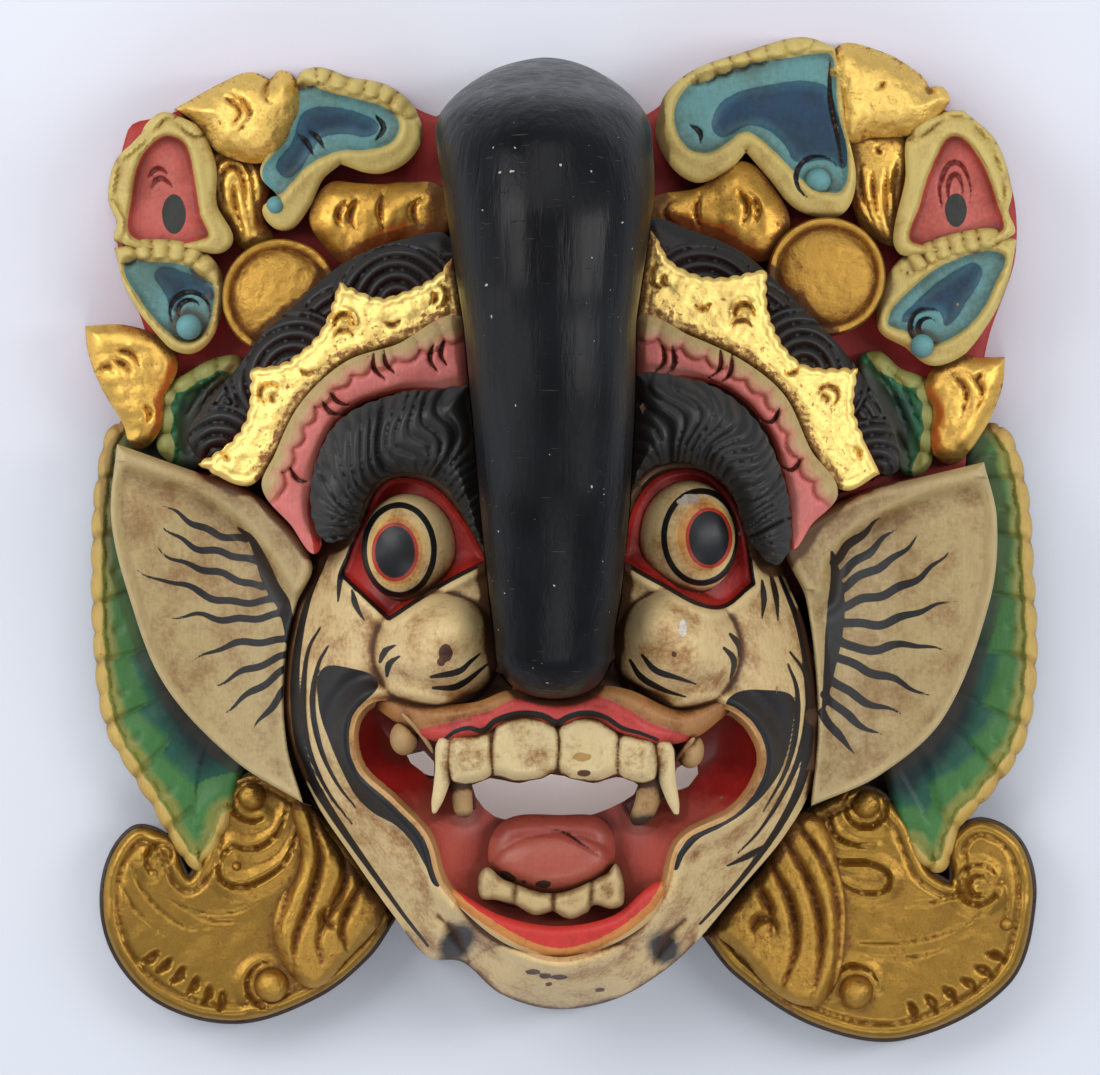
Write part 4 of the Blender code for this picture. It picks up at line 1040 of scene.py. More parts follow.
BLUE_ARCS = (
    ([(375, 115), (384, 128), (372, 144)], [(308, 130), (318, 138), (326, 152)],
     [(298, 134), (308, 144), (314, 158)]),
    (arc(818, 178, 22, 120, 330), [(690, 125), (700, 132), (700, 146)],
     [(830, 60), (830, 96), (838, 140), (844, 180)]),
)
RED_ARCS = (
    ([(148, 178), (158, 168), (170, 176)], [(150, 190), (160, 178), (176, 190)]),
    ([(942, 208), (940, 184), (955, 162), (970, 184), (969, 208)],
     [(949, 202), (948, 186), (955, 174), (962, 186), (962, 202)]),
)
NO_DROPS = (), ()
RED_DROPS = ([ellipse(174, 214, 12, 20)], [ellipse(956, 210, 11, 17)])
SMALL_ARCS = ((arc(190, 312, 20, 150, 400), arc(190, 312, 12, 150, 340)),
              (arc(928, 326, 18, 60, 330), arc(928, 328, 10, 90, 330)))


def leaf_height(top, core, heart, row, arcs, seed):
    """A leaf: a rounded border with beads at its tip, a sunk core, a deeper heart and shallow arcs."""
    def height(p, d):
        c = inside(p, core)
        bead, rise = beads(p, *row)
        z = top - fall(d, 2.6, 3.2)
        z -= 3.6 * ease((c + 3.0) * UNIT / 4.0) * (c > -3.0)
        z -= 1.4 * ease((inside(p, heart) + 2.0) * UNIT / 4.0) * (inside(p, heart) > -2.0)
        z += 0.9 * bell(c + 6.0, 5.0)
        z += np.where(bead > 0.0, 3.2 * rise - 2.0, 0.0) - 1.6 * bell(bead + 1.5, 2.0)
        return z - gouged(p, arcs, 3.0, 1.8) + 0.4 * uneven(p, 13.0, seed)
    return height


def leaf_marks(core, heart, row, arcs, drops):
    """The distances that the leaf's paint reads."""
    return {"core": lambda p, d: np.minimum(inside(p, core), -beads(p, *row)[0]),
            "heart": lambda p, d: inside(p, heart), "arc": lambda p, d: strokes(p, arcs, 2.8),
            "drop": lambda p, d: in_any(p, drops)}


blue_paint = painted("blue_leaf", BORDER,
                     [("core", 0.0, srgb(98, 146, 146), 0.8), ("heart", 0.0, srgb(48, 92, 112), 1.2),
                      ("heart", 3.0, srgb(26, 60, 86), 3.4), ("arc", 0.0, srgb(20, 32, 42), 0.4)],
                     waxed=0.6, mottle=0.6)
red_paint = painted("red_leaf", BORDER,
                    [("core", 0.0, srgb(186, 78, 68), 0.8), ("core", 5.0, srgb(196, 100, 88), 7.0),
                     ("arc", 0.0, srgb(140, 50, 46), 0.4), ("drop", 0.0, srgb(46, 48, 44), 0.8)],
                    waxed=0.6, mottle=0.5)
LEAF_KINDS = (
    ("blue_leaf_", BLUE_LEAVES, BLUE_CORES, BLUE_HEARTS, BLUE_BEADS, BLUE_ARCS, NO_DROPS,
     LEAF + 2.0, blue_paint),
    ("red_leaf_", RED_LEAVES, RED_CORES, RED_CORES, RED_BEADS, RED_ARCS, RED_DROPS, LEAF, red_paint),
    ("small_blue_leaf_", SMALL_BLUE_LEAVES, SMALL_BLUE_CORES, SMALL_BLUE_HEARTS, SMALL_BEADS, SMALL_ARCS,
     NO_DROPS, LEAF - 2.0, blue_paint),
)
for name, outlines, cores, hearts, rows, arcs, drops, top, paint in LEAF_KINDS:
    for k, side in enumerate(SIDES):
        core, heart = smooth(cores[k]), smooth(hearts[k])
        row = (smooth(rows[k][0], closed=False), *rows[k][1:])
        relief(name + side, packed(outlines[k]), leaf_height(top, core, heart, row, arcs[k], seed=k),
               paint, marks=leaf_marks(core, heart, row, arcs[k], drops[k]), side=RED_SIDE)

# %% [markdown]
# ## Gilded caps, curls, flowers and tips
# These forms carry only tool marks: crescents and ridges cut with gouges of two or three
# widths. A groove is a line with a width and a depth, and the leaf gold lies in it too.

# %% The gilded forms of the crown
GOLD_CAPS = (
    [(174, 109, 1), (225, 81), (250, 72), (270, 79, 1), (282, 70), (297, 82),
     (294, 118), (268, 157), (222, 150), (200, 124)],
    [(836, 48), (880, 51), (920, 74), (930, 88, 1), (943, 87), (949, 103), (914, 130),
     (870, 134), (846, 138), (840, 100)],
)
CAP_GROOVES = (
    ([(220, 94), (240, 112), (228, 130)], [(230, 90), (250, 112), (236, 136)],
     [(269, 80), (265, 92), (268, 104)]),
    ([(876, 88), (890, 82)], [(924, 84), (930, 92), (942, 94)]),
)
FLUTED_CURLS = (
    [(207, 155), (222, 149), (240, 150), (256, 164), (266, 186), (262, 206), (262, 224), (270, 240),
     (246, 246), (232, 226), (218, 204), (208, 178)],
    [(847, 134), (870, 129), (896, 131), (911, 142), (910, 160), (902, 182), (896, 208), (896, 240),
     (880, 238), (862, 222), (846, 158)],
)
CURL_GROOVES = (
    ([(234, 180), (235, 204), (245, 238)],
     [(224, 206), (221, 182), (230, 167), (241, 173), (246, 202), (253, 236)],
     [(215, 196), (212, 172), (226, 157), (244, 160), (253, 180), (256, 206), (261, 234)]),
    (ellipse(880, 150, 2, 2), [(860, 164), (862, 194), (874, 226)], [(872, 168), (874, 198), (882, 232)],
     [(886, 168), (886, 196), (890, 234)], [(898, 160), (895, 186), (896, 214)]),
)
FLOWERS = (
    [(313, 216), (330, 187), (358, 187), (384, 188), (405, 186), (441, 192), (441, 235),
     (400, 240), (351, 262), (324, 240)],
    [(652, 202), (700, 191), (741, 165), (772, 192), (786, 228), (761, 258), (711, 236),
     (652, 222)],
)
FLOWER_GROOVES = (
    ([(347, 200), (338, 216), (346, 234)], [(358, 198), (350, 216), (357, 232)],
     arc(428, 212, 15, 110, 270), [(384, 190), (380, 214), (386, 238)]),
    ([(748, 192), (758, 208), (752, 230)], [(738, 190), (747, 206), (742, 228)], arc(678, 212, 13, 90, 270),
     [(700, 192), (696, 212), (702, 236)]),
)
TIP_LEAVES = (
    [(85, 326, 1), (125, 325), (160, 338), (174, 364), (161, 398), (157, 428), (136, 446),
     (122, 422), (100, 385), (88, 352)],
    [(929, 384), (948, 361), (1005, 357, 1), (1002, 388), (984, 430), (958, 460), (937, 452),
     (936, 408)],
)
TIP_GROOVES = (
    ([(114, 350), (132, 354), (142, 372)], [(112, 360), (126, 366), (134, 382)],
     [(98, 372), (108, 366), (116, 376)], [(140, 404), (150, 412), (146, 430)]),
    ([(982, 372), (974, 386)], [(950, 372), (966, 392), (960, 420)], [(966, 372), (982, 390), (974, 414)]),
)


def gold_form(top, rise, width, grooves, seed):
    """A rounded gilded form: sharp grooves with round ridges between them."""
    def height(p, d):
        z = top - fall(d, rise, width) - gouged(p, grooves, 4.6, 2.8, power=1.2)
        return z + 0.7 * uneven(p, 10.0, seed) + 0.25 * uneven(p, 4.0, seed)
    return height


GOLD_KINDS = (
    ("gold_cap_", GOLD_CAPS, CAP_GROOVES, LEAF + 6.0, 9.0, 14.0, CAP_LEAF),
    ("fluted_curl_", FLUTED_CURLS, CURL_GROOVES, LEAF - 4.0, 6.0, 9.0, GOLD_LEAF),
    ("flower_", FLOWERS, FLOWER_GROOVES, FLOWER, 6.0, 12.0, DULL_LEAF),
    ("tip_leaf_", TIP_LEAVES, TIP_GROOVES, TIP_LEAF, 5.0, 8.0, GOLD_LEAF),
)
for name, outlines, grooves, top, rise, width, leaf in GOLD_KINDS:
    for k, side in enumerate(SIDES):
        relief(name + side, packed(outlines[k]), gold_form(top, rise, width, grooves[k], seed=k + top),
               leaf, side=RED_SIDE)

# %% [markdown]
# ## Hair and bands of the forehead
# From the crown down to the eyes follow black hair in curled locks, a band of wrinkled gold
# leaf with a stepped edge, a pink band with a cream scalloped strip, and black brows. The
# bands drop towards the temples, as the frame's do.

# %% Crown hair
CROWN_HAIRS = (
    [(450, 238), (400, 240), (345, 262), (300, 300), (262, 335), (240, 364), (205, 405),
     (188, 436), (202, 458), (245, 440), (300, 400), (380, 330), (455, 300)],
    [(648, 222), (690, 230), (742, 252), (790, 295), (830, 335), (864, 378), (890, 425),
     (900, 466), (885, 475), (850, 450), (790, 380), (720, 320), (648, 290)],
)
HAIR_LOCKS = (
    ((452, 300, 52), (345, 336, 50), (398, 306, 66), (252, 420, 50), (292, 376, 68), (218, 458, 54)),
    ((650, 292, 52), (752, 330, 50), (702, 306, 66), (846, 424, 50), (804, 372, 68), (880, 470, 54)),
)
LOCK_RIDGE = 12.0


def band_top(p, top):
    """A height that falls from the trunk to the temple."""
    return top - BAND_FALL * beside_trunk(p)


hair_paint = painted("black_hair", srgb(36, 35, 34), waxed=0.25, mottle=0.7, gloss=0.40, chips=0.0,
                     wax=srgb(40, 32, 28), ground=srgb(92, 70, 52))


def locks(p, middles):
    """Fans of ridges, each lock laid over the one before it, as scales are."""
    rise = np.zeros(len(p))
    for u, v, radius in middles:
        r = np.hypot(p[:, 0] - u, p[:, 1] - v) + 2.0 * uneven(p, 22.0, u)
        ridge = np.abs(np.sin(r * math.pi / LOCK_RIDGE)) ** 0.7
        rise = np.where(r < radius, 2.4 * ridge - 2.0 * bell(radius - r, 3.0), rise)
    return rise - 1.4


for k, side in enumerate(SIDES):
    relief("crown_hair_" + side, smooth(CROWN_HAIRS[k]),
           lambda p, d, k=k: band_top(p, CROWN_HAIR) - fall(d, 4.0, 8.0) + locks(p, HAIR_LOCKS[k]),
           hair_paint, side=RED_SIDE, step=2.1)

# %% Gold bands
GOLD_BANDS = (
    [(460, 256), (437, 276), (405, 292), (378, 298), (340, 283, 1), (320, 333), (284, 363),
     (251, 369, 1), (248, 415), (230, 443), (198, 464, 1), (246, 486), (272, 462), (297, 412),
     (345, 362), (395, 345), (460, 318)],
    [(646, 232), (672, 263), (711, 278), (766, 270, 1), (769, 316), (800, 363),
     (857, 369, 1), (854, 412), (880, 474, 1), (842, 490), (811, 450), (785, 396), (745, 362),
     (691, 336), (640, 318)],
)
BAND_STEPS = ((0.02, 0.52), (0.02, 0.46))
BAND_LOOPS = ((arc(344, 322, 13, 160, 380), arc(344, 326, 6, 180, 360)),
              (arc(744, 312, 13, 160, 380), arc(744, 316, 6, 180, 360)))
BAND_GROOVES = (
    (arc(344, 324, 9.5, 170, 370), arc(344, 340, 10, 200, 340), arc(270, 394, 10, 120, 330),
     arc(276, 398, 4, 100, 300), arc(436, 296, 12, -60, 80), arc(430, 298, 6, -60, 80),
     arc(392, 316, 9, 30, 150), arc(232, 452, 8, 100, 260), arc(308, 366, 8, 40, 160)),
    (arc(744, 314, 9.5, 170, 370), arc(742, 330, 10, 200, 340), arc(828, 396, 10, 200, 420),
     arc(824, 400, 4, 220, 420), arc(662, 276, 12, 100, 260), arc(668, 280, 6, 100, 260),
     arc(702, 300, 9, 30, 150), arc(852, 456, 8, 280, 420), arc(790, 366, 8, 20, 140)),
)
for k, side in enumerate(SIDES):
    relief("gold_band_" + side, scalloped(smooth(GOLD_BANDS[k]), 13.0, 3.0, *BAND_STEPS[k]),
           lambda p, d, k=k: band_top(p, GOLD_BAND) - fall(d, 2.2, 2.4)
           + gouged(p, BAND_LOOPS[k], 3.4, 1.5, (0.6, 0.6))
           - gouged(p, BAND_GROOVES[k], 3.4, 2.6, (0.5, 0.4))
           - 0.5 * bell(d - 9.0, 2.0) + 0.4 * uneven(p, 7.0, k) + 0.22 * uneven(p, 3.4, k + 2.0),
           FOIL, side=RED_SIDE, cuts=[SEAT], step=2.4)

# %% Pink bands
PINK_BANDS = (
    [(464, 318), (395, 345), (345, 362), (300, 404), (274, 456), (262, 488), (290, 524),
     (318, 552), (312, 500), (340, 420), (399, 393), (474, 394)],
    [(636, 318), (691, 336), (745, 362), (785, 396), (811, 450), (838, 492), (812, 524),
     (790, 548), (785, 495), (765, 428), (715, 385), (630, 380)],
)
PINK_GROOVES = (
    ([(374, 352), (374, 368), (388, 382)], [(384, 350), (386, 364), (398, 376)],
     [(322, 400), (330, 412), (346, 416)], [(330, 392), (338, 402), (352, 406)],
     [(290, 468), (298, 480), (310, 482)], [(434, 342), (430, 360), (440, 374)],
     [(444, 340), (441, 356), (450, 368)]),
    ([(662, 344), (664, 362), (652, 374)], [(672, 346), (674, 364), (664, 378)],
     [(720, 348), (720, 368), (706, 380)], [(732, 354), (730, 374), (718, 384)],
     [(780, 408), (772, 422), (760, 420)], [(802, 458), (792, 470), (780, 466)]),
)
STRIP, STRIP_BEAD = 14.0, 26.0
pink_paint = painted("pink_band", srgb(212, 116, 108),
                     [("strip", 0.0, srgb(196, 128, 104), 1.6), ("strip", 3.4, srgb(178, 152, 100), 4.0),
                      ("brow", 0.0, RED, 1.6), ("nick", 0.0, srgb(92, 38, 34), 0.4)],
                     waxed=0.45, mottle=0.7)
for k, side in enumerate(SIDES):
    upper = smooth([p[:2] for p in PINK_BANDS[k][:6]], closed=False)
    lower = smooth([p[:2] for p in PINK_BANDS[k][7:]], closed=False)

    def strip_mark(p, d, line=upper):
        away, along = nearest(p, line, 90.0)
        return STRIP + 6.0 * np.abs(np.sin(along * math.pi / STRIP_BEAD + 0.5 * uneven(p, 24.0))) - away

    def pink_height(p, d, line=upper, grooves=PINK_GROOVES[k], mark=strip_mark):
        away, along = nearest(p, line, 90.0)
        m = mark(p, d)
        z = band_top(p, PINK_BAND) - fall(d, 3.0, 5.0)
        z += 1.5 * ease(m * UNIT / 1.4) - 1.2 * bell(m + 1.5, 1.8)
        z -= np.where(m > 0, 1.5 * (1.0 - np.abs(np.sin(along * math.pi / STRIP_BEAD)) ** 0.4), 0.0)
        return z - gouged(p, grooves, 3.2, 2.6) + 0.4 * uneven(p, 12.0)

    relief("pink_band_" + side, smooth(PINK_BANDS[k]), pink_height, pink_paint, cuts=[SEAT],
           marks={"strip": strip_mark, "brow": lambda p, d, line=lower: 4.0 - nearest(p, line, 40.0)[0],
                  "nick": lambda p, d, k=k: strokes(p, PINK_GROOVES[k], 2.4, (0.3, 0.2))})

# %% [markdown]
# The brows are combed locks. Strands fan out round each eye, waver a little, and curl up at the
# outer ends. Each strand is a ridge whose phase is the turn round the eye, so the strands
# spread evenly wherever the brow widens.

# %% Brow hair
BROW_HAIRS = (
    [(474, 392), (432, 390), (399, 393), (340, 420), (314, 470), (312, 515), (326, 541),
     (352, 532), (374, 484), (412, 472), (446, 488), (486, 540)],
    [(630, 382), (690, 379), (735, 400), (768, 440), (790, 510), (780, 563), (750, 540),
     (728, 486), (690, 463), (650, 468), (626, 490)],
)
LOCK_MIDDLES = ((412, 552), (688, 540))
STRAND, LOCK, COMB = 5.6, 30.0, 105.0
for k, side in enumerate(SIDES):
    def brow_height(p, d, k=k):
        u, v = LOCK_MIDDLES[k]
        radius = np.hypot(p[:, 0] - u, p[:, 1] - v)
        turn = np.arctan2(p[:, 1] - v, p[:, 0] - u)
        sway = 0.10 * np.sin(radius / 17.0 + 3.0 * np.sin(turn * 2.0 + k)) + 0.05 * uneven(p, 16.0, k)
        phase = (turn + sway) * COMB
        strand = np.abs(np.sin(phase * math.pi / STRAND / 2.0))
        lock = np.abs(np.sin(phase * math.pi / LOCK / 2.0 + 0.6))
        z = band_top(p, BROW_HAIR) - fall(d, 8.0, 12.0)
        return z + 1.5 * strand**0.8 + 3.2 * lock**0.5 - 4.2

    relief("brow_hair_" + side, scalloped(smooth(BROW_HAIRS[k]), 17.0, 1.8), brow_height, hair_paint,
           cuts=[SEAT], step=2.2)

# %% [markdown]
# ## Ears
# Each ear is a thin fan: high where it joins the face, dished, with a turned edge. Black
# strokes fan out from a black root. They are painted, not carved, so the mesh only carries
# how far each place is inside a stroke, and the paint turns that into black.

# %% Ears
EARS = (
    [(117, 444, 1), (200, 473), (240, 485), (272, 508), (312, 563), (296, 606),
     (284, 670), (287, 745), (303, 803, 1), (234, 760), (164, 684), (128, 593), (111, 517)],
    [(784, 548), (798, 528), (862, 491), (913, 479), (984, 462, 1), (997, 520), (990, 600),
     (944, 717), (880, 775), (811, 806, 1), (818, 717), (806, 600)],
)
EAR_STROKES = (
    ([(246, 540), (220, 535), (200, 527), (180, 515), (160, 503)],
     [(256, 562), (225, 553), (200, 549), (177, 537), (158, 522)],
     [(262, 588), (225, 575), (200, 568), (175, 560), (153, 545)],
     [(276, 600), (230, 602), (200, 593), (182, 583), (155, 580), (135, 567)],
     [(284, 614), (230, 620), (200, 615), (165, 618)], [(287, 640), (230, 645), (193, 661)],
     [(287, 655), (245, 671), (213, 687)], [(288, 668), (255, 690), (222, 714)],
     [(290, 684), (270, 708), (253, 730)]),
    ([(833, 562), (855, 540), (882, 517)], [(836, 577), (865, 555), (897, 527)],
     [(838, 590), (868, 572), (892, 560), (922, 533)],
     [(838, 608), (862, 600), (890, 592), (918, 578), (936, 564), (953, 546)],
     [(836, 620), (870, 625), (895, 620), (922, 610), (956, 600)],
     [(834, 636), (860, 650), (892, 646), (920, 645), (946, 652)],
     [(830, 652), (860, 668), (890, 678), (932, 698)], [(828, 676), (858, 698), (902, 714)],
     [(825, 694), (850, 718), (882, 736)], [(823, 712), (838, 736), (856, 753)]),
)
EAR_ROOTS = (
    [(238, 528), (252, 540), (272, 586), (284, 606), (290, 640), (288, 690)],
    [(832, 552), (836, 580), (836, 610), (832, 650), (822, 720)],
)
EAR_FOLDS = (
    [(128, 462), (170, 476), (215, 496), (250, 524), (276, 556), (296, 590)],
    [(972, 478), (920, 492), (875, 512), (842, 534), (824, 560), (818, 590)],
)


def ear_height(fold):
    """An ear: high at its root, dished, and with a step down across a fold."""
    def height(p, d):
        t = np.clip((np.abs(p[:, 0] - AXIS[0]) - EAR_FROM) / EAR_RUN, 0.0, 1.0)
        z = EAR_ROOT + (EAR_HOLLOW - EAR_ROOT) * ease(t * 1.7)
        z += (EAR_EDGE - EAR_HOLLOW) * np.clip((t - 0.55) / 0.45, 0.0, 1.0)
        z += 3.0 * np.clip(1.0 - d * UNIT / 6.0, 0.0, 1.0) - fall(d, 2.4, 1.6)
        away, along = nearest(p, fold, 90.0)
        above = p[:, 1] < np.interp(p[:, 0], *fold[np.argsort(fold[:, 0])].T)
        z += np.where(above, 6.5, 6.5 * bell(away, 8.0)) * ease(d * UNIT / 5.0)
        z -= np.where(above, 0.0, 1.6 * bell(away - 20.0, 8.0))
        return z + 0.25 * uneven(p, 15.0)
    return height


EAR_BRUSH = 3.6, 4.4
ear_paint = painted("ear_cream", EAR_CREAM, [("ink", 0.0, srgb(34, 32, 31), 0.4)], waxed=0.75, mottle=0.6)
for k, side in enumerate(SIDES):
    fold = smooth(EAR_FOLDS[k], closed=False)
    relief("ear_" + side, smooth(EARS[k]), ear_height(fold), ear_paint, side=DARK_SIDE, step=2.4,
           marks={"ink": lambda p, d, k=k: np.maximum(
               strokes(p, [wavy(line, 1.5, 36.0 + i) for i, line in enumerate(EAR_STROKES[k])],
                       EAR_BRUSH[k], (1.0, 0.1)),
               strokes(p, [EAR_ROOTS[k]], EAR_BRUSH[k] * 2.0, (0.2, 0.1)))})

# %% [markdown]
# ## The face
# The face is one big rounded form. Its height adds up from named parts: cheeks that round down
# to the outline, two bulbs of the muzzle, lids that stand up round the sunk eyes, folds beside
# the mouth, and a chin. Lines of black paint run beside the folds, thin at both ends.

# %% Outlines of the face
FACE = [
    (330, 470), (318, 545), (298, 595), (287, 667), (289, 735), (316, 802), (353, 858), (394, 916),
    (428, 957), (462, 962), (501, 994), (554, 1009), (613, 1000), (661, 973), (696, 942), (742, 887),
    (785, 835), (811, 786), (817, 715), (806, 630), (782, 565), (770, 470), (680, 400), (560, 380),
    (430, 390),
]
MUZZLES = ((437, 652, 64, 60), (677, 650, 64, 62))
NOSTRILS = ((470, 604, 56, 54), (644, 598, 56, 54))
EYES = (
    [(343, 574, 1), (360, 530), (386, 482), (430, 484), (464, 520), (486, 560, 1), (440, 584),
     (389, 617, 1)],
    [(622, 560, 1), (634, 505), (662, 474), (705, 473), (738, 510), (752, 583, 1), (716, 606),
     (655, 579)],
)
MOUTH = [
    (379, 701), (356, 722), (360, 765), (395, 800), (428, 836), (446, 886), (500, 934), (556, 957),
    (614, 940), (660, 896), (680, 840), (735, 808), (761, 765), (750, 727), (718, 708), (655, 722),
    (556, 700), (455, 715),
]
FACE_EDGES = (
    [(326, 558), (309, 597), (297, 652), (295, 700), (301, 749), (321, 796), (397, 906), (428, 946)],
    [(779, 574), (799, 626), (809, 682), (809, 740), (800, 785), (777, 830), (740, 880), (700, 924)],
)
CHEEK_LINES = (
    [(328, 646), (319, 663), (313, 690), (314, 720), (323, 755), (338, 785), (356, 808)],
    [(320, 628), (309, 648), (304, 680), (304, 720), (311, 755), (328, 792), (352, 824)],
    [(345, 560), (340, 580), (338, 602)], [(352, 590), (356, 606), (364, 620)],
    [(790, 652), (804, 672), (808, 702), (801, 750), (785, 790), (760, 830), (738, 853)],
    [(788, 664), (797, 690), (796, 730), (786, 770), (763, 812)], [(764, 846), (748, 856), (727, 866)],
    [(770, 572), (776, 596), (778, 620)], [(762, 580), (764, 600), (762, 618)],
)
MUZZLE_LINES = (
    [(431, 677), (460, 671), (470, 662), (481, 653)], [(433, 688), (458, 686), (489, 663)],
    [(380, 662), (385, 651), (396, 645)], [(387, 676), (389, 664), (400, 656)],
    [(642, 655), (655, 670), (678, 678), (696, 684)], [(630, 660), (641, 677), (664, 690), (686, 697)],
    [(730, 634), (739, 645), (739, 657)], [(724, 648), (734, 660), (730, 681)],
)
WEDGES = (
    [(322, 669), (318, 700), (325, 730), (352, 790), (372, 812), (395, 825), (410, 840),
     (425, 865), (437, 887), (438, 870), (420, 822), (400, 805), (380, 790), (362, 770),
     (352, 745), (353, 720), (362, 705), (378, 682), (350, 668)],
    [(738, 692), (768, 690), (790, 694), (795, 704), (785, 760), (768, 790), (745, 812),
     (720, 828), (700, 838), (685, 854), (674, 870), (680, 850), (695, 832), (715, 820), (740, 802),
     (754, 785), (760, 760), (757, 738), (745, 722), (726, 706)],
)
SPOTS = (ellipse(457, 943, 11, 18, turn=35.0), ellipse(664, 948, 12, 13, turn=-30.0))
CHIN_GROOVES = ([(438, 916), (456, 934), (470, 962)], [(684, 920), (664, 940), (652, 968)])
FACE_CHIPS = (ellipse(446, 653, 7, 9), ellipse(441, 662, 4, 4), ellipse(674, 654, 3, 3),
              ellipse(533, 972, 8, 3), ellipse(545, 976, 6, 3), ellipse(559, 977, 9, 2.4),
              ellipse(549, 984, 4, 2), ellipse(600, 990, 5, 2))

# %% The face's carving
lids = [smooth(eye) for eye in EYES]
mouth = smooth(MOUTH)


def face_height(p, d):
    """The face's height, added up from its named parts."""
    outer = np.maximum(inside(p, smooth(FACE)), 0.0)
    z = FACE_EDGE + (FACE_TOP - FACE_EDGE) * ease(outer * UNIT / FACE_ROUND)
    for u, v, across, down in MUZZLES:
        z += MUZZLE_RISE * mound(p, u, v, across, down, 0.85)
    for u, v, across, down in NOSTRILS:
        z += 12.0 * mound(p, u, v, across, down, 1.8)
    for lid in lids:
        away = inside(p, lid)
        z += 3.0 * bell(away + 7.0, 6.0) - EYE_SINK * ease((away + 2.0) / 8.0) * (away > -2.0)
    rim = inside(p, mouth)
    z += 4.0 * bell(rim + 10.0, 7.0)
    z -= 2.0 * bell(rim + 28.0, 9.0) * np.clip((860.0 - p[:, 1]) / 60.0, 0.0, 1.0)
    z -= gouged(p, CHEEK_LINES, 5.0, 1.6)
    z += 8.0 * mound(p, 562, 976, 98, 40, 0.8) - gouged(p, CHIN_GROOVES, 9.0, 5.0, (0.6, 0.2), 1.2)
    z += 3.0 * mound(p, 556, 520, 90, 60) + 2.5 * mound(p, 437, 625, 40, 30)
    z += 2.0 * mound(p, 676, 622, 40, 30)
    return z + 0.5 * uneven(p, 26.0) + 0.2 * uneven(p, 9.0, 3.0)


def face_ink(p, d):
    """How far inside the black paint."""
    ink = strokes(p, CHEEK_LINES, 3.0, (0.4, 0.3))
    ink = np.maximum(ink, strokes(p, MUZZLE_LINES, 3.2, (0.5, 0.3)))
    ink = np.maximum(ink, strokes(p, FACE_EDGES, 4.8, (0.4, 0.3)))
    ink = np.maximum(ink, in_any(p, [smooth(loop) for loop in WEDGES]))
    for lid in lids:
        ink = np.maximum(ink, 2.2 - np.abs(inside(p, lid) + 1.5))
    return ink


face_paint = painted("face_cream", CREAM,
                     [("lid", 0.0, srgb(184, 44, 36), 0.8), ("ink", 0.0, BLACK, 0.3),
                      ("lip_line", 0.0, srgb(196, 152, 96), 0.8), ("bare", 0.0, srgb(92, 54, 32), 1.6),
                      ("spot", -1.6, srgb(40, 28, 22), 3.6), ("white", 0.0, srgb(232, 230, 224), 2.0)],
                     waxed=0.95, mottle=0.6)
relief("face", smooth(FACE), face_height, face_paint, cuts=[mouth, SEAT], side=DARK_SIDE, step=2.1,
       marks={"ink": face_ink, "spot": lambda p, d: in_any(p, SPOTS), "lid": lambda p, d: in_any(p, lids),
              "lip_line": lambda p, d: 5.0 + inside(p, mouth),
              "bare": lambda p, d: in_any(p, FACE_CHIPS),
              "white": lambda p, d: inside(p, ellipse(683, 628, 4, 9))})

# %% [markdown]
# ## The open mouth
# The mouth is cut right through to the hollow back: one wide slot between the rows of teeth and
# a small gap beside each fang. Its walls fall from the lips to the slot. Tongue, teeth and lips
# are carved forms of the same block.

# %% Mouth, tongue and lips
MOUTH_MIDDLE = 556.0     # across the drawing
# Above the first of these lines the mouth's wall darkens to deep red, as painted shade under the upper
# teeth; above the second the tongue turns a darker pink.
TEETH_SHADE_LINE, TONGUE_REAR = 770.0, 838.0    # down the drawing, where the darker red begins
MOUTH_HOLES = (
    [(472, 785), (494, 816), (530, 819), (582, 817), (624, 801), (638, 785), (616, 777),
     (594, 783), (550, 774), (520, 783), (490, 778)],
    [(407, 755), (424, 751), (434, 762), (434, 778), (420, 770)],
    [(677, 768), (697, 763), (698, 774), (678, 790)],
)
TONGUE_OUTLINE = [
    (502, 822), (490, 866), (527, 889), (554, 893), (581, 888), (612, 868), (606, 822),
    (560, 815),
]
LOWER_TEETH = [
    (484, 868), (505, 880), (554, 893), (606, 874), (617, 864), (624, 902), (612, 909), (594, 905),
    (588, 912, 1), (570, 919), (553, 911, 1), (535, 915), (514, 904, 1), (496, 900), (480, 897),
]
LOWER_GAPS = ([(554, 888), (553, 914)], [(516, 880), (514, 906)], [(592, 880), (590, 914)])
LOWER_LIP_OUTLINE = [
    (440, 884), (500, 915), (556, 926), (612, 916), (668, 880), (652, 918), (600, 950),
    (556, 958), (506, 944), (458, 906),
]
UPPER_LIP = [
    (368, 697), (382, 693), (428, 704), (475, 702), (512, 690), (560, 700), (600, 686), (630, 690),
    (680, 710), (716, 697), (740, 690), (744, 698), (722, 718), (695, 738), (660, 745), (620, 733),
    (590, 719), (556, 726), (520, 718), (485, 734), (447, 744), (410, 730), (384, 714),
]
LIP_TURN = ((372, 716), (400, 728), (421, 729), (450, 722), (490, 711), (515, 698), (560, 693), (600, 696),
            (620, 705), (650, 722), (672, 730), (694, 738), (722, 722))
GUM_LINE = [(445, 739), (456, 731), (470, 728), (483, 731), (495, 721), (520, 714), (543, 716), (557, 723),
            (568, 717), (585, 713), (605, 717), (622, 728), (640, 733), (658, 740)]
UPPER_TEETH = [
    (447, 738), (458, 730), (478, 730), (497, 718), (522, 713), (545, 716), (557, 722), (575, 714),
    (600, 716), (618, 728), (640, 733), (656, 742), (656, 777), (644, 783), (628, 780), (617, 775),
    (598, 781), (572, 779), (556, 773), (540, 779), (515, 781), (494, 776), (480, 782), (462, 784),
    (451, 779),
]
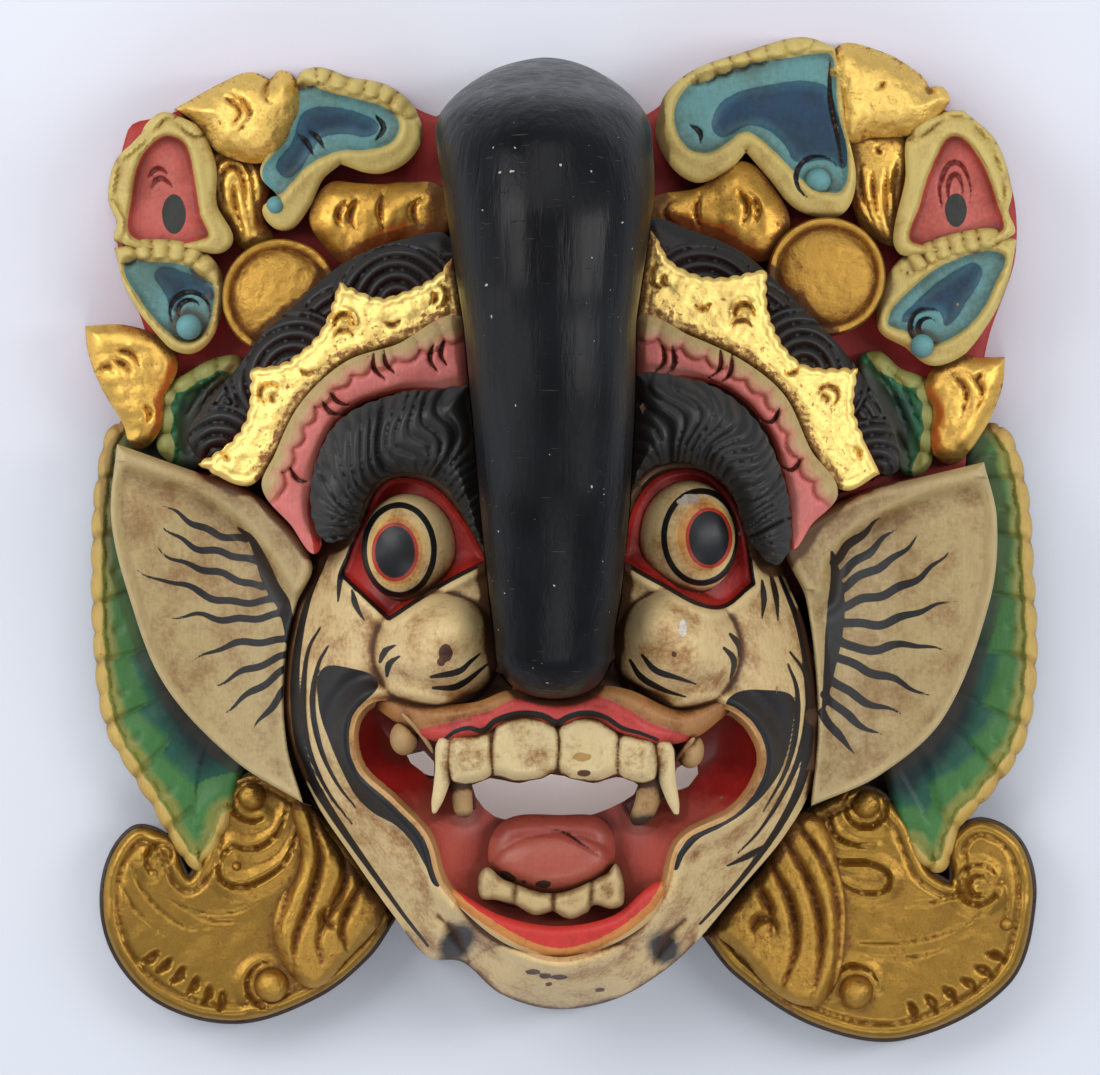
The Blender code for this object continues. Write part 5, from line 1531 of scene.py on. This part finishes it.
TEETH_GAPS = ([(494, 720), (491, 745), (493, 778)], [(557, 722), (559, 745), (557, 775)],
              [(620, 728), (618, 750), (618, 777)])
TEETH = ((470, 757, 26, 30), (524, 748, 38, 40), (589, 748, 36, 40), (638, 758, 24, 30))
TONGUE_CREASE = [(548, 828), (565, 833), (585, 846), (604, 860)]

# The two high zones darken the wall towards the upper teeth: painted shade under them.
mouth_paint = painted("mouth_red", srgb(196, 90, 76),
                      [("high", 0.0, srgb(164, 34, 30), 9.0), ("high", 14.0, srgb(122, 20, 18), 9.0),
                       ("lip", 0.0, srgb(190, 140, 88), 1.0)], waxed=0.3, mottle=0.5, gloss=0.38)


def mouth_height(p, d):
    """The mouth's wall, which falls from the lips to the slot."""
    away = np.maximum(inside(p, mouth), 0.0)
    z = MOUTH_RIM - (MOUTH_RIM - MOUTH_FLOOR) * ease(away * UNIT / MOUTH_SLOPE)
    return z + 2.5 * bell(away, 5.0) + 0.4 * uneven(p, 16.0)


relief("mouth", mouth, mouth_height, mouth_paint, cuts=[smooth(hole) for hole in MOUTH_HOLES],
       marks={"high": lambda p, d: TEETH_SHADE_LINE - p[:, 1] + 0.2 * np.abs(p[:, 0] - MOUTH_MIDDLE),
              "lip": lambda p, d: 5.0 - inside(p, mouth)})

TONGUE_CHIPS = (ellipse(508, 876, 9, 4, turn=25.0), ellipse(543, 884, 8, 4), ellipse(524, 882, 3, 2))
tongue_paint = painted("tongue_pink", srgb(168, 84, 68),
                       [("rear", 0.0, srgb(156, 72, 60), 1.0), ("ink", 0.0, srgb(60, 24, 24), 0.2),
                        ("bare", 0.0, srgb(58, 40, 30), 1.2)], waxed=0.4, gloss=0.36)
relief("tongue", smooth(TONGUE_OUTLINE),
       lambda p, d: TONGUE - fall(d, 6.0, 8.0) + 6.0 * mound(p, 556, 868, 62, 34)
       - gouged(p, [TONGUE_CREASE], 3.0, 1.2) + 0.3 * uneven(p, 14.0),
       tongue_paint,
       marks={"rear": lambda p, d: TONGUE_REAR + 0.45 * np.maximum(p[:, 0] - MOUTH_MIDDLE, 0.0) - p[:, 1],
              "ink": lambda p, d: strokes(p, [TONGUE_CREASE], 1.4, (0.3, 0.1)),
              "bare": lambda p, d: in_any(p, TONGUE_CHIPS)})

tooth_paint = painted("tooth_ivory", srgb(212, 190, 140),
                      [("gap", 0.0, srgb(120, 86, 52), 1.6), ("stain", 0.0, srgb(176, 138, 78), 2.4),
                       ("bare", 0.0, srgb(92, 58, 34), 0.8)], waxed=1.1, mottle=0.5, gloss=0.36)
relief("lower_teeth", smooth(LOWER_TEETH),
       lambda p, d: LOWER_TOOTH - fall(d, 3.5, 4.0) - gouged(p, LOWER_GAPS, 3.4, 2.4, (1, 1)),
       painted("lower_teeth", srgb(190, 164, 114), [("gap", 0.0, srgb(96, 66, 40), 3.4)], waxed=1.2),
       marks={"gap": lambda p, d: np.maximum(strokes(p, LOWER_GAPS, 1.6), 2.0 - d)}, step=2.2)
relief("lower_lip", smooth(LOWER_LIP_OUTLINE),
       lambda p, d: LOWER_LIP - fall(d, 3.0, 4.0) + 0.3 * uneven(p, 14.0)
       - 5.0 * np.clip((np.abs(p[:, 0] - MOUTH_MIDDLE) - 60.0) / 55.0, 0.0, 1.0) ** 2,
       painted("lower_lip", srgb(196, 52, 46), [("turn", 0.0, srgb(196, 126, 62), 1.6),
                                                ("turn", 3.4, srgb(204, 168, 112), 1.2)], waxed=0.6),
       marks={"turn": lambda p, d: 5.0 + 4.0 * mound(p, 556, 950, 110, 90, 1.0) - inside(p, mouth)})


def below_turn(p):
    """How far below the line where the upper lip turns in."""
    return p[:, 1] - np.interp(p[:, 0], *np.array(LIP_TURN, float).T)


# The upper lip's brown top is partly its own orange-brown paint and partly painted shade under the muzzles;
# below the turn it is red.
relief("upper_lip", smooth(UPPER_LIP),
       lambda p, d: LIP - fall(d, 5.0, 5.0) + 0.3 * uneven(p, 14.0)
       - 24.0 * np.clip((np.abs(p[:, 0] - 557.0) - 80.0) / 100.0, 0.0, 1.2) ** 1.4
       - 1.2 * bell(below_turn(p), 4.0),
       painted("upper_lip", srgb(168, 118, 68),
               [("turn", 0.0, srgb(192, 66, 60), 1.0), ("ink", 0.0, BLACK, 0.3)], waxed=0.9, mottle=0.5),
       marks={"turn": lambda p, d: below_turn(p),
              "ink": lambda p, d: strokes(p, [GUM_LINE], 3.4, (0.5, 0.5))})


def teeth_height(p, d):
    """A row of teeth with grooves between them."""
    z = TOOTH - fall(d, 5.0, 5.0) - gouged(p, TEETH_GAPS, 4.0, 2.4, (0.9, 0.9))
    for u, v, across, down in TEETH:
        z += 2.6 * mound(p, u, v, across, down, 0.8)
    return z + 0.35 * uneven(p, 11.0)


relief("upper_teeth", smooth(UPPER_TEETH), teeth_height, tooth_paint, step=2.2,
       marks={"gap": lambda p, d: np.maximum(strokes(p, TEETH_GAPS, 0.8, (0.8, 0.8)), 1.0 - d),
              "stain": lambda p, d: inside(p, ellipse(582, 757, 9, 4)),
              "bare": lambda p, d: inside(p, ellipse(584, 773, 7, 3.5))})

# %% [markdown]
# ## Round things, modelled by hand
# From here Blender's own tools do the work. A ball becomes an eye or a peg when it is scaled
# and set in its place. Everything is deselected first, because an operator acts on all that is
# selected. At the end the place goes into the mesh and the object stands at the origin.

# %% Helpers for modelling by hand
SHARP_TURNED = math.radians(50.0)


def place_on(u, v, z):
    """The place in metres of a drawing point at a height in millimetres."""
    return to_space([(u, v)], z)[0]


def ball(place, size, segments=48, rings=32):
    """A ball, scaled and left selected."""
    bpy.ops.object.select_all(action="DESELECT")
    bpy.ops.mesh.primitive_uv_sphere_add(segments=segments, ring_count=rings, location=place)
    bpy.ops.transform.resize(value=size)
    bpy.ops.object.transform_apply(location=True, rotation=True, scale=True)
    return bpy.context.object


def finished(pieces, name, paint, marks=None):
    """Joins what was modelled, names it, paints it and marks its distances."""
    bpy.ops.object.select_all(action="DESELECT")
    for piece in pieces:
        piece.select_set(True)
    bpy.context.view_layer.objects.active = pieces[0]
    if len(pieces) > 1:
        bpy.ops.object.join()
    piece = bpy.context.object
    bpy.ops.object.transform_apply(location=True, rotation=True, scale=True)
    piece.name = name
    mesh = piece.data
    mesh.name = name
    mesh.materials.clear()
    mesh.materials.append(paint)
    mesh.shade_smooth()
    mesh.set_sharp_from_angle(angle=SHARP_TURNED)
    flat, _ = to_drawing(places_of(piece))
    for key, rule in (marks or {}).items():
        mark(mesh, key, rule(flat) * UNIT)
    return own(piece)


def no_mark(p):
    """The mark of a piece that has none of that paint."""
    return in_any(p, ())


print("the middle of the mask lies at", place_on(*AXIS, 0.0).round(4))

# %% [markdown]
# The eyes are balls that bulge out of their lids. The rings are painted freehand, each a little
# off the middle, so every ring is its own ellipse on the drawing.

# %% Eyes
EYEBALLS = ((409, 548, 48, 55), (688, 538, 50, 58))
EYE_HEIGHT, EYE_DEPTH = 100.5, 17.5
EYE_RINGS = (
    {"ring": (399, 550, 35, 45), "iris": (397, 551, 29, 37), "red": (395, 552, 23.5, 29.5),
     "pupil": (395, 552, 20, 26)},
    {"ring": (701, 537, 37, 46), "iris": (704, 537, 30, 38), "red": (709, 538, 23.5, 30.5),
     "pupil": (709, 538, 20, 27)},
)
EYE_WORN = {"left": [], "right": [ellipse(688, 500, 12, 5, turn=-12.0)]}
eye_paint = painted("eyeball", srgb(214, 186, 132),
                    [("iris", 0.0, srgb(214, 176, 108), 0.8), ("iris", 1.6, srgb(206, 146, 76), 1.2),
                     ("ring", 0.0, BLACK, 0.3), ("red", 0.0, srgb(178, 56, 38), 0.5),
                     ("pupil", 0.0, srgb(26, 27, 30), 0.5), ("worn", 0.0, srgb(196, 190, 178), 2.9)],
                    waxed=0.9, mottle=0.6, gloss=0.36)
for side, (u, v, across, down), rings in zip(SIDES, EYEBALLS, EYE_RINGS):
    scale = UNIT * (1.0 - EYE_HEIGHT / SIGHT) * MM
    eye = ball(place_on(u, v, EYE_HEIGHT), (across * scale, down * scale, EYE_DEPTH * MM), 112, 72)
    marks = {key: lambda p, e=rings[key]: inside(p, ellipse(*e)) for key in ("iris", "red", "pupil")}
    marks["ring"] = lambda p, e=rings["ring"]: 3.0 - np.abs(inside(p, ellipse(*e)))
    marks["worn"] = lambda p, worn=EYE_WORN[side]: in_any(p, worn)
    finished([eye], "eyeball_" + side, eye_paint, marks)

# %% [markdown]
# The cheek teeth are round pegs. Fangs, tusks and the thin struts at the corners of the mouth are
# bent horns: a ring is extruded along a short path, and each ring has its own size.

# %% Pegs, fangs and tusks
CHEEK_TEETH = ((404, 738, 14, 17), (690, 750, 14, 18))
PEG, PEG_SCALE, PEG_DEPTH = 106.0, UNIT * 0.00094, 0.009
TUSKS = (([(461, 772), (462, 796),
           (464, 818)], (10.0, 9.0), TUSK), ([(654, 772), (648, 800), (638, 826)], (13.0, 11.0), TUSK))
FANGS = (([(447, 734), (444, 772),
           (434, 814)], (11.0, 4.0), FANG), ([(661, 736), (666, 774), (677, 816)], (11.5, 4.0), FANG))
HORN_SIDES, HORN_DROP, TUSK_STAIN = 24, 7.0, 814.0
STRUTS = (([(402, 713), (420, 732), (438, 758)], (3.4, 3.0), FANG - 4.0),
          ([(694, 737), (684, 750), (672, 764)], (3.4, 3.0), FANG - 4.0))


def rounded(piece):
    """Leaves edit mode, and rounds the piece with one level of subdivision."""
    bpy.ops.object.mode_set(mode="OBJECT")
    bpy.ops.object.modifier_add(type="SUBSURF")
    modifier = piece.modifiers[-1]
    modifier.levels = modifier.render_levels = 1
    bpy.ops.object.modifier_apply(modifier=modifier.name)
    return piece


def pulled(places, across, deep, sides):
    """A form pulled out ring by ring: each ring has a place and two half sizes in metres."""
    bpy.ops.object.select_all(action="DESELECT")
    bpy.ops.mesh.primitive_circle_add(vertices=sides, radius=1.0, fill_type="NGON", location=places[0],
                                      rotation=(math.pi / 2, 0.0, 0.0))
    bpy.ops.object.transform_apply(location=True, rotation=True, scale=True)
    bpy.ops.object.mode_set(mode="EDIT")
    bpy.ops.mesh.select_all(action="SELECT")
    bpy.ops.transform.resize(value=(across[0], 1.0, deep[0]), center_override=places[0])
    for k in range(1, len(places)):
        step = tuple(places[k] - places[k - 1])
        bpy.ops.mesh.extrude_region_move(TRANSFORM_OT_translate={"value": step})
        bpy.ops.transform.resize(value=(across[k] / across[k - 1], 1.0, deep[k] / deep[k - 1]),
                                 center_override=places[k])
    bpy.ops.mesh.select_all(action="SELECT")
    bpy.ops.mesh.normals_make_consistent(inside=False)
    return rounded(bpy.context.object)


def horn(path, thick, z):
    """A tooth along a path, which sinks towards its end, with a rounded root and tip."""
    line = smooth(path, 6.0, closed=False)
    share = np.linspace(0.0, 1.0, len(line))
    size = thick[0] + (thick[1] - thick[0]) * share**1.4
    size = size * np.minimum(1.0, 0.45 + 4.0 * np.minimum(share, 1.0 - share)) * UNIT * MM
    places = [place_on(u, v, z - HORN_DROP * s) for (u, v), s in zip(line, share)]
    return pulled(places, size, size, HORN_SIDES)


tusk_paint = painted("tusk_brown", srgb(176, 142, 94), [("gap", 0.0, srgb(56, 42, 34), 3.6)], waxed=1.3)
for side, (u, v, across, down) in zip(SIDES, CHEEK_TEETH):
    peg = ball(place_on(u, v, PEG), (across * PEG_SCALE, down * PEG_SCALE, PEG_DEPTH))
    finished([peg], "cheek_tooth_" + side, tusk_paint, {"gap": no_mark})
for name, kind, paint in (("tusk_", TUSKS, tusk_paint), ("fang_", FANGS, tooth_paint),
                          ("strut_", STRUTS, tusk_paint)):
    for side, shape in zip(SIDES, kind):
        finished([horn(*shape)], name + side, paint,
                 {"gap": lambda p: p[:, 1] - TUSK_STAIN, "stain": no_mark, "bare": no_mark})

# %% [markdown]
# ## The trunk
# The trunk is the one long round form, so it is extruded ring by ring, as a potter would pull
# it. Each ring is as wide as the outline on the drawing, and lies as deep as its seat allows.

# %% The trunk
RING_SIDES = 56


def trunk_ring(v):
    """Middle and half sizes in metres of the trunk's ring at one place down the drawing."""
    left, right = (float(edge[0]) for edge in trunk_edges(np.array([v])))
    half = max((right - left) / 2, 0.6) * UNIT
    rise, seat = np.array(TRUNK_RISE, float), float(seat_height(np.array([(0.0, v)]))[0])
    axis = TRUNK_AXIS + float(np.interp(v, rise[:, 0], rise[:, 1]))
    top, low = axis + half, max(seat + TRUNK_GAP + 0.4, axis - 1.15 * half)
    middle = (top + low) / 2
    place = place_on((left + right) / 2, v, middle)
    return place, half * (1.0 - middle / SIGHT) * MM, (top - low) / 2 * MM


turn = np.sin(np.linspace(0.06, math.pi / 2, 14))
first, last = TRUNK_STATIONS[0][0], TRUNK_STATIONS[-1][0]
down = np.concatenate([(first - (first - TRUNK_TOP) * turn)[::-1], np.arange(first + 12.0, last, 14.0),
                       last + (TRUNK_TIP - last) * turn])
trunk = pulled(*zip(*(trunk_ring(v) for v in down)), RING_SIDES)


def black_paint():
    """Black paint with broad brush facets, fine scratches and pale specks."""
    material, tree, shader, place = start("black_trunk", 0.36, sheen=0.19)
    broad = noise(tree, place, 22.0, 3.0)
    brush = noise(tree, stretched(tree, place, (120.0, 16.0, 120.0)), 1.0, 4.0, 0.6)
    cross = stretched(tree, place, (60.0, 900.0, 300.0), (0.3, 0.2, 0.5))
    scratch = ramp(tree, noise(tree, cross, 1.0, 2.0, 0.4), 0.70, 0.76)
    speck = ramp(tree, noise(tree, place, 420.0, 1.0, 0.3), 0.80, 0.815)
    colour = blended(tree, ramp(tree, broad, 0.35, 0.75), srgb(6, 6, 8), srgb(16, 17, 20))
    colour = blended(tree, figure(tree, "MULTIPLY", scratch, 0.4), colour, srgb(84, 82, 78))
    colour = blended(tree, figure(tree, "MULTIPLY", speck, 0.8), colour, srgb(190, 186, 176))
    tree.links.new(colour, shader.inputs["Base Color"])
    rough = figure(tree, "MULTIPLY_ADD", brush, 0.36, figure(tree, "MULTIPLY_ADD", broad, 0.2, 0.07))
    tree.links.new(rough, shader.inputs["Roughness"])
    height = figure(tree, "MULTIPLY_ADD", brush, 1.0, figure(tree, "MULTIPLY", scratch, -0.3))
    bumped(tree, shader, height, 0.8)
    return material


coords = places_of(trunk)
facets = uneven(coords[:, :2] * 1000.0, 14.0) + 0.6 * uneven(coords[:, ::2] * 1000.0, 9.0, 2.0)
normals = np.array([v.normal[:] for v in trunk.data.vertices])
coords += normals * (facets * 0.0004)[:, None]
trunk.data.vertices.foreach_set("co", coords.ravel())
trunk = finished([trunk], "trunk_carved", black_paint())
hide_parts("trunk")

# %% [markdown]
# ## Gold discs
# Each disc is a cylinder whose top face is inset for the rim, pressed down, and then raised in
# two steps to a low dome. A subdivision surface rounds all of it.

# %% Discs
DISCS = ((280, 297, 59.5), (827, 276, 60))
DISC_FOOT, DISC_SIDES, DISC_RIM = 20.0, 96, 0.0009
DISC_STEPS = ((0.0026, 0.0), (0.0006, -0.0024), (0.0009, 0.0), (0.0012, 0.0018), (0.004, 0.0016),
              (0.006, 0.0008))
for side, (u, v, radius) in zip(SIDES, DISCS):
    across = radius * UNIT * (1.0 - DISC / SIGHT) * MM
    middle = place_on(u, v, DISC) - np.array((0.0, 0.0, (DISC - DISC_FOOT) / 2000.0))
    bpy.ops.object.select_all(action="DESELECT")
    bpy.ops.mesh.primitive_cylinder_add(vertices=DISC_SIDES, radius=across, location=middle,
                                        depth=(DISC - DISC_FOOT) * MM)
    disc = bpy.context.object
    bpy.ops.object.mode_set(mode="EDIT")
    work = bmesh.from_edit_mesh(disc.data)
    for face in work.faces:
        face.select_set(face.normal.z > 0.9)
    bmesh.update_edit_mesh(disc.data)
    bpy.ops.mesh.inset(thickness=DISC_RIM, depth=0.0)
    for inward, up in DISC_STEPS:
        bpy.ops.mesh.inset(thickness=inward, depth=0.0)
        bpy.ops.transform.translate(value=(0.0, 0.0, up))
    finished([rounded(disc)], "disc_" + side, DISC_LEAF)

# %% [markdown]
# ## Scroll leaves
# Below the ears hang two gilded leaves with rolled ends. A slab with a dark edge carries a gold
# face a little inside it. Curls are ridges on that face, veins are shallow grooves, and a row of
# gouge notches runs along the rim. Round drops are balls, set in their hollows.

# %% Scroll outlines and tool marks
SCROLLS = (
    [(250, 771), (212, 802), (200, 850), (189, 874, 1), (168, 834), (130, 827), (101, 880),
     (110, 950), (158, 1004), (238, 1024), (318, 998), (370, 957), (398, 916, 1), (340, 830),
     (290, 780)],
    [(815, 803), (868, 785), (906, 815), (930, 866), (949, 880, 1), (950, 838), (982, 817),
     (1024, 843), (1036, 905), (1008, 986), (905, 1040), (815, 1027), (735, 976),
     (702, 936, 1), (750, 875), (790, 825)],
)
SCROLL_LEAVES = (
    [(296, 800), (330, 836), (366, 884), (386, 908), (345, 962), (312, 988), (282, 962),
     (274, 915), (300, 860)],
    [(806, 812), (840, 872), (843, 960), (820, 1004), (780, 996), (735, 950), (716, 928),
     (760, 872)],
)
LEAF_FLUTES = (
    ([(290, 812), (296, 852), (286, 900), (272, 944)],
     [(312, 816), (320, 858), (310, 900), (296, 938), (292, 980)],
     [(340, 840), (346, 876), (330, 914), (318, 940), (322, 962)],
     [(364, 882), (352, 902), (342, 930), (348, 950)], arc(334, 916, 10, 90, 270)),
    ([(796, 822), (826, 866), (838, 908), (838, 955), (830, 1000)],
     [(782, 836), (806, 876), (820, 920), (820, 962), (812, 1000)],
     [(768, 858), (790, 902), (796, 946), (782, 990)], [(752, 878), (768, 906), (770, 934)],
     arc(764, 930, 12, 180, 380), [(730, 952), (744, 966), (754, 984)]),
)
CURLS = (
    ([(233, 845), (220, 860), (222, 880), (240, 887), (262, 880), (285, 862), (298, 830), (304, 804)],
     [(233, 845), (246, 849), (262, 846), (278, 832), (288, 806)], arc(252, 800, 21, 60, 300),
     [(150, 872), (146, 858), (152, 848), (164, 844), (172, 850), (170, 862), (160, 866)],
     arc(270, 985, 23, 100, 270)),
    ([(812, 815), (816, 845), (838, 861), (868, 863), (888, 874), (886, 890), (862, 893), (836, 880),
      (816, 860)],
     [(828, 812), (834, 834), (852, 844), (874, 846)], arc(865, 806, 21, -20, 230),
     arc(978, 885, 20, 20, 330), arc(978, 886, 10, 60, 330), arc(854, 990, 24, 180, 350)),
)
SCROLL_VEINS = (
    ([(160, 894), (196, 912), (236, 912), (264, 898)], [(128, 862), (146, 895), (180, 925), (216, 932)],
     [(116, 878), (136, 910), (166, 938)], [(180, 906), (214, 922), (246, 920)]),
    ([(856, 944), (917, 941), (972, 922), (998, 895)], [(866, 958), (922, 956), (974, 936)],
     [(1000, 868), (1008, 900), (1000, 940)], [(905, 905), (940, 902), (962, 890)]),
)
SCROLL_NOTCHES = (
    ((150, 957), (164, 965), (178, 975), (193, 985), (207, 995), (221, 1001)),
    ((912, 1011), (931, 1004), (950, 995), (969, 985), (984, 972), (996, 957)),
)
DROPS = (((252, 796, 14), (272, 985, 17), (237, 866, 5)),
         ((866, 804, 14), (856, 992, 17), (1006, 924, 7)))

# %% Scrolls
for k, side in enumerate(SIDES):
    edge = smooth(SCROLLS[k])
    relief("scroll_edge_" + side, edge,
           lambda p, d: SCROLL - 1.6 - fall(d, 1.0, 1.6) - 3.0 * np.clip((d - 5.0) / 5.0, 0.0, 1.0),
           DARK_SIDE, step=5.0)
    middle = edge.mean(axis=0)
    notches = []
    for spot in np.array(SCROLL_NOTCHES[k], float):
        out = (spot - middle) / np.linalg.norm(spot - middle)
        beside = spot + 2.0 * np.array((out[1], -out[0]))
        notches.append(np.array([spot - out * 8.0, beside, spot + out * 8.0]))

    def scroll_height(p, d, k=k, notches=notches):
        z = SCROLL + 1.9 - fall(d, 2.8, 3.0) - 1.6 * bell(d - 14.0, 2.6)
        z -= gouged(p, SCROLL_VEINS[k], 2.6, 1.1) + gouged(p, notches, 5.0, 3.4, (0.6, 0.6))
        z += 2.4 * np.clip(strokes(p, CURLS[k], 15.0, (0.9, 0.6)) / 15.0, 0.0, 1.0)
        z -= gouged(p, CURLS[k], 4.6, 3.6, (0.8, 0.5), 1.2)
        return np.maximum(z + 0.9 * uneven(p, 24.0, k) + 0.4 * uneven(p, 9.0, k), SCROLL - 1.5)

    relief("scroll_" + side, grown(edge, -3.6), scroll_height, SCROLL_LEAF, side=DARK_SIDE)
    relief("scroll_leaf_" + side, smooth(SCROLL_LEAVES[k]),
           lambda p, d, k=k: SCROLL + SCROLL_RELIEF - fall(d, 5.0, 6.0)
           - gouged(p, LEAF_FLUTES[k], 9.0, 4.6, (0.6, 0.4), 1.5) + 0.6 * uneven(p, 12.0, k), DISC_LEAF,
           step=2.3)
    drops = [ball(place_on(u, v, SCROLL + r * 0.1), (r * 0.00042, r * 0.00042, r * 0.00034 + 0.0015),
                  40, 24) for u, v, r in DROPS[k]]
    finished(drops, "scroll_drops_" + side, DISC_LEAF)

# %% [markdown]
# ## Drops in the crown
# The rolled tips of the blue leaves end in small painted balls.

# %% Leaf drops
LEAF_DROPS = (((276, 206, 10), (189, 327, 13)), ((818, 181, 13), (922, 346, 12)))
light_blue = painted("drop_blue", BLUE_LIGHT, waxed=0.7)
for side, drops in zip(SIDES, LEAF_DROPS):
    balls = [ball(place_on(u, v, LEAF - 0.8), (r * 0.00041, r * 0.00041, 0.005), 32, 20)
             for u, v, r in drops]
    finished(balls, "leaf_drops_" + side, light_blue)

# %% [markdown]
# ## Wax and painted shade in the crevices
# Wax and painted shade stay where a place lies lower than what is round it. Now that every form
# stands, the heights of all pieces go on one coarse map of the drawing. The map is blurred, and the
# difference between blurred and own height is stored on each mesh as its depth.

# %% How deep each place lies
CELL = 4.0
wide, tall = 275, 270    # cells across and down the drawing


def softened(grid, reach):
    """A box blur of a map, run twice."""
    for _ in range(2):
        for axis in (0, 1):
            sums = np.cumsum(np.pad(grid, [(reach + 1, reach) if a == axis else (0, 0) for a in (0, 1)],
                                    mode="edge"), axis=axis)
            size = grid.shape[axis]
            high = np.take(sums, np.arange(size) + 2 * reach + 1, axis=axis)
            grid = (high - np.take(sums, np.arange(size), axis=axis)) / (2 * reach + 1)
    return grid


def sampled(grid, flat):
    """The map's value at drawing points, blended between its cells."""
    place = np.clip(flat / CELL - 0.5, 0.0, (wide - 1.001, tall - 1.001))
    low = place.astype(int)
    u, v = (place - low).T
    i, j = low.T
    return ((grid[j, i] * (1 - u) + grid[j, i + 1] * u) * (1 - v)
            + (grid[j + 1, i] * (1 - u) + grid[j + 1, i + 1] * u) * v)


heights = np.zeros((tall, wide))
for piece in made:
    flat, z = to_drawing(places_of(piece))
    i, j = np.clip((flat / CELL).astype(int), 0, (wide - 1, tall - 1)).T
    top = np.zeros((tall, wide))
    np.maximum.at(top, (j, i), z)
    front = z > top[j, i] - 4.0
    total, count = np.zeros((tall, wide)), np.zeros((tall, wide))
    np.add.at(total, (j[front], i[front]), z[front])
    np.add.at(count, (j[front], i[front]), 1.0)
    heights = np.maximum(heights, total / np.maximum(count, 1.0))
for _ in range(2):
    padded = np.pad(heights, 1, mode="edge")
    around = np.max([padded[a:a + tall, b:b + wide] for a in (0, 1, 2) for b in (0, 1, 2)], axis=0)
    heights = np.where(heights < 1.0, around, heights)
near_map, far_map = softened(heights, 1), softened(heights, 3)
# This depth darkens the paint with wax and with painted shade; lids and scrolls get less of it.
for piece in made:
    flat, z = to_drawing(places_of(piece))
    deep = 0.9 * (sampled(near_map, flat) - z) + 0.08 * np.clip(sampled(far_map, flat) - z, -8.0, 12.0)
    if "lid" in piece.data.attributes:
        lid = np.zeros(len(z), np.float32)
        piece.data.attributes["lid"].data.foreach_get("value", lid)
        deep = np.where(lid > -0.5, np.minimum(deep * 0.25, 0.5), deep)
    if piece.name.startswith("scroll"):
        deep = np.minimum(deep, 1.2)
    mark(piece.data, "deep", np.clip(deep, -4.0, 6.0))
print("the mask's forms stand up to", round(float(heights.max())), "mm above the table")

# %% [markdown]
# ## Light and camera
# The mask lies on a pale floor under soft studio light from both sides, and the camera hangs
# straight above it, at the height from which the drawing is seen. The real one hangs free, so
# light also comes through the open mouth: a small lamp in the hollow does the same here.

# %% Floor, lights and camera
SENSOR, FLOOR_SIZE, ROOM_LIGHT = 36.0, 3.0, 0.46
bpy.ops.object.select_all(action="DESELECT")
bpy.ops.mesh.primitive_plane_add(size=FLOOR_SIZE, location=(0.0, 0.0, 0.0))
floor = bpy.context.object
floor.name = "floor"
floor_paint = bpy.data.materials.new("pale_floor")
floor_paint.use_nodes = True
floor_shader = floor_paint.node_tree.nodes["Principled BSDF"]
floor_shader.inputs["Base Color"].default_value = srgb(222, 226, 234)
floor_shader.inputs["Roughness"].default_value = 0.9
floor.data.materials.append(floor_paint)

eye_place = place_on(*AXIS, 0.0)
camera = standing("camera", bpy.data.cameras.new("camera"), (eye_place[0], eye_place[1], SIGHT * MM))
camera.data.sensor_width = SENSOR
camera.data.lens = SENSOR * SIGHT / (DRAWING[0] * UNIT)
bpy.context.scene.camera = camera

LIGHTS = (
    ("left_light", (-0.95, 0.45, 1.05), (0.7, 0.9), 8.4),
    ("right_light", (0.9, 0.15, 0.9), (0.3, 1.1), 5.6),
    ("top_light", (0.0, 0.9, 1.1), (0.9, 0.9), 4.0),
    ("low_light", (0.1, -0.85, 1.1), (1.0, 0.6), 3.4),
    ("left_strip", (-1.3, -0.1, 0.42), (0.2, 1.2), 2.0),
)
HOLLOW_LAMP, HOLLOW_POWER_W = (552.0, 600.0, 26.0), 0.32
for name, spot, size, power in LIGHTS:
    light = bpy.data.lights.new(name, "AREA")
    light.shape, light.energy = "RECTANGLE", power
    light.size, light.size_y = size
    lamp = standing(name, light, spot)
    lamp.rotation_euler = (-lamp.location).to_track_quat("-Z", "Y").to_euler()
glow = bpy.data.lights.new("light_behind", "POINT")
glow.energy, glow.shadow_soft_size = HOLLOW_POWER_W, 0.01
standing("light_behind", glow, place_on(*HOLLOW_LAMP))
world = bpy.data.worlds.new("studio")
world.use_nodes = True
world.node_tree.nodes["Background"].inputs["Color"].default_value = srgb(226, 230, 240)
world.node_tree.nodes["Background"].inputs["Strength"].default_value = ROOM_LIGHT
bpy.context.scene.world = world
bpy.context.scene.view_settings.view_transform = "Standard"
print("lens", round(camera.data.lens, 2), "mm")

# %% [markdown]
# ## Triangles at the end
# The triangles of all pieces are counted and printed.

# %% Triangles at the end
bpy.context.view_layer.update()
print("triangles in all", sum(len(p.vertices) - 2 for piece in made for p in piece.data.polygons))
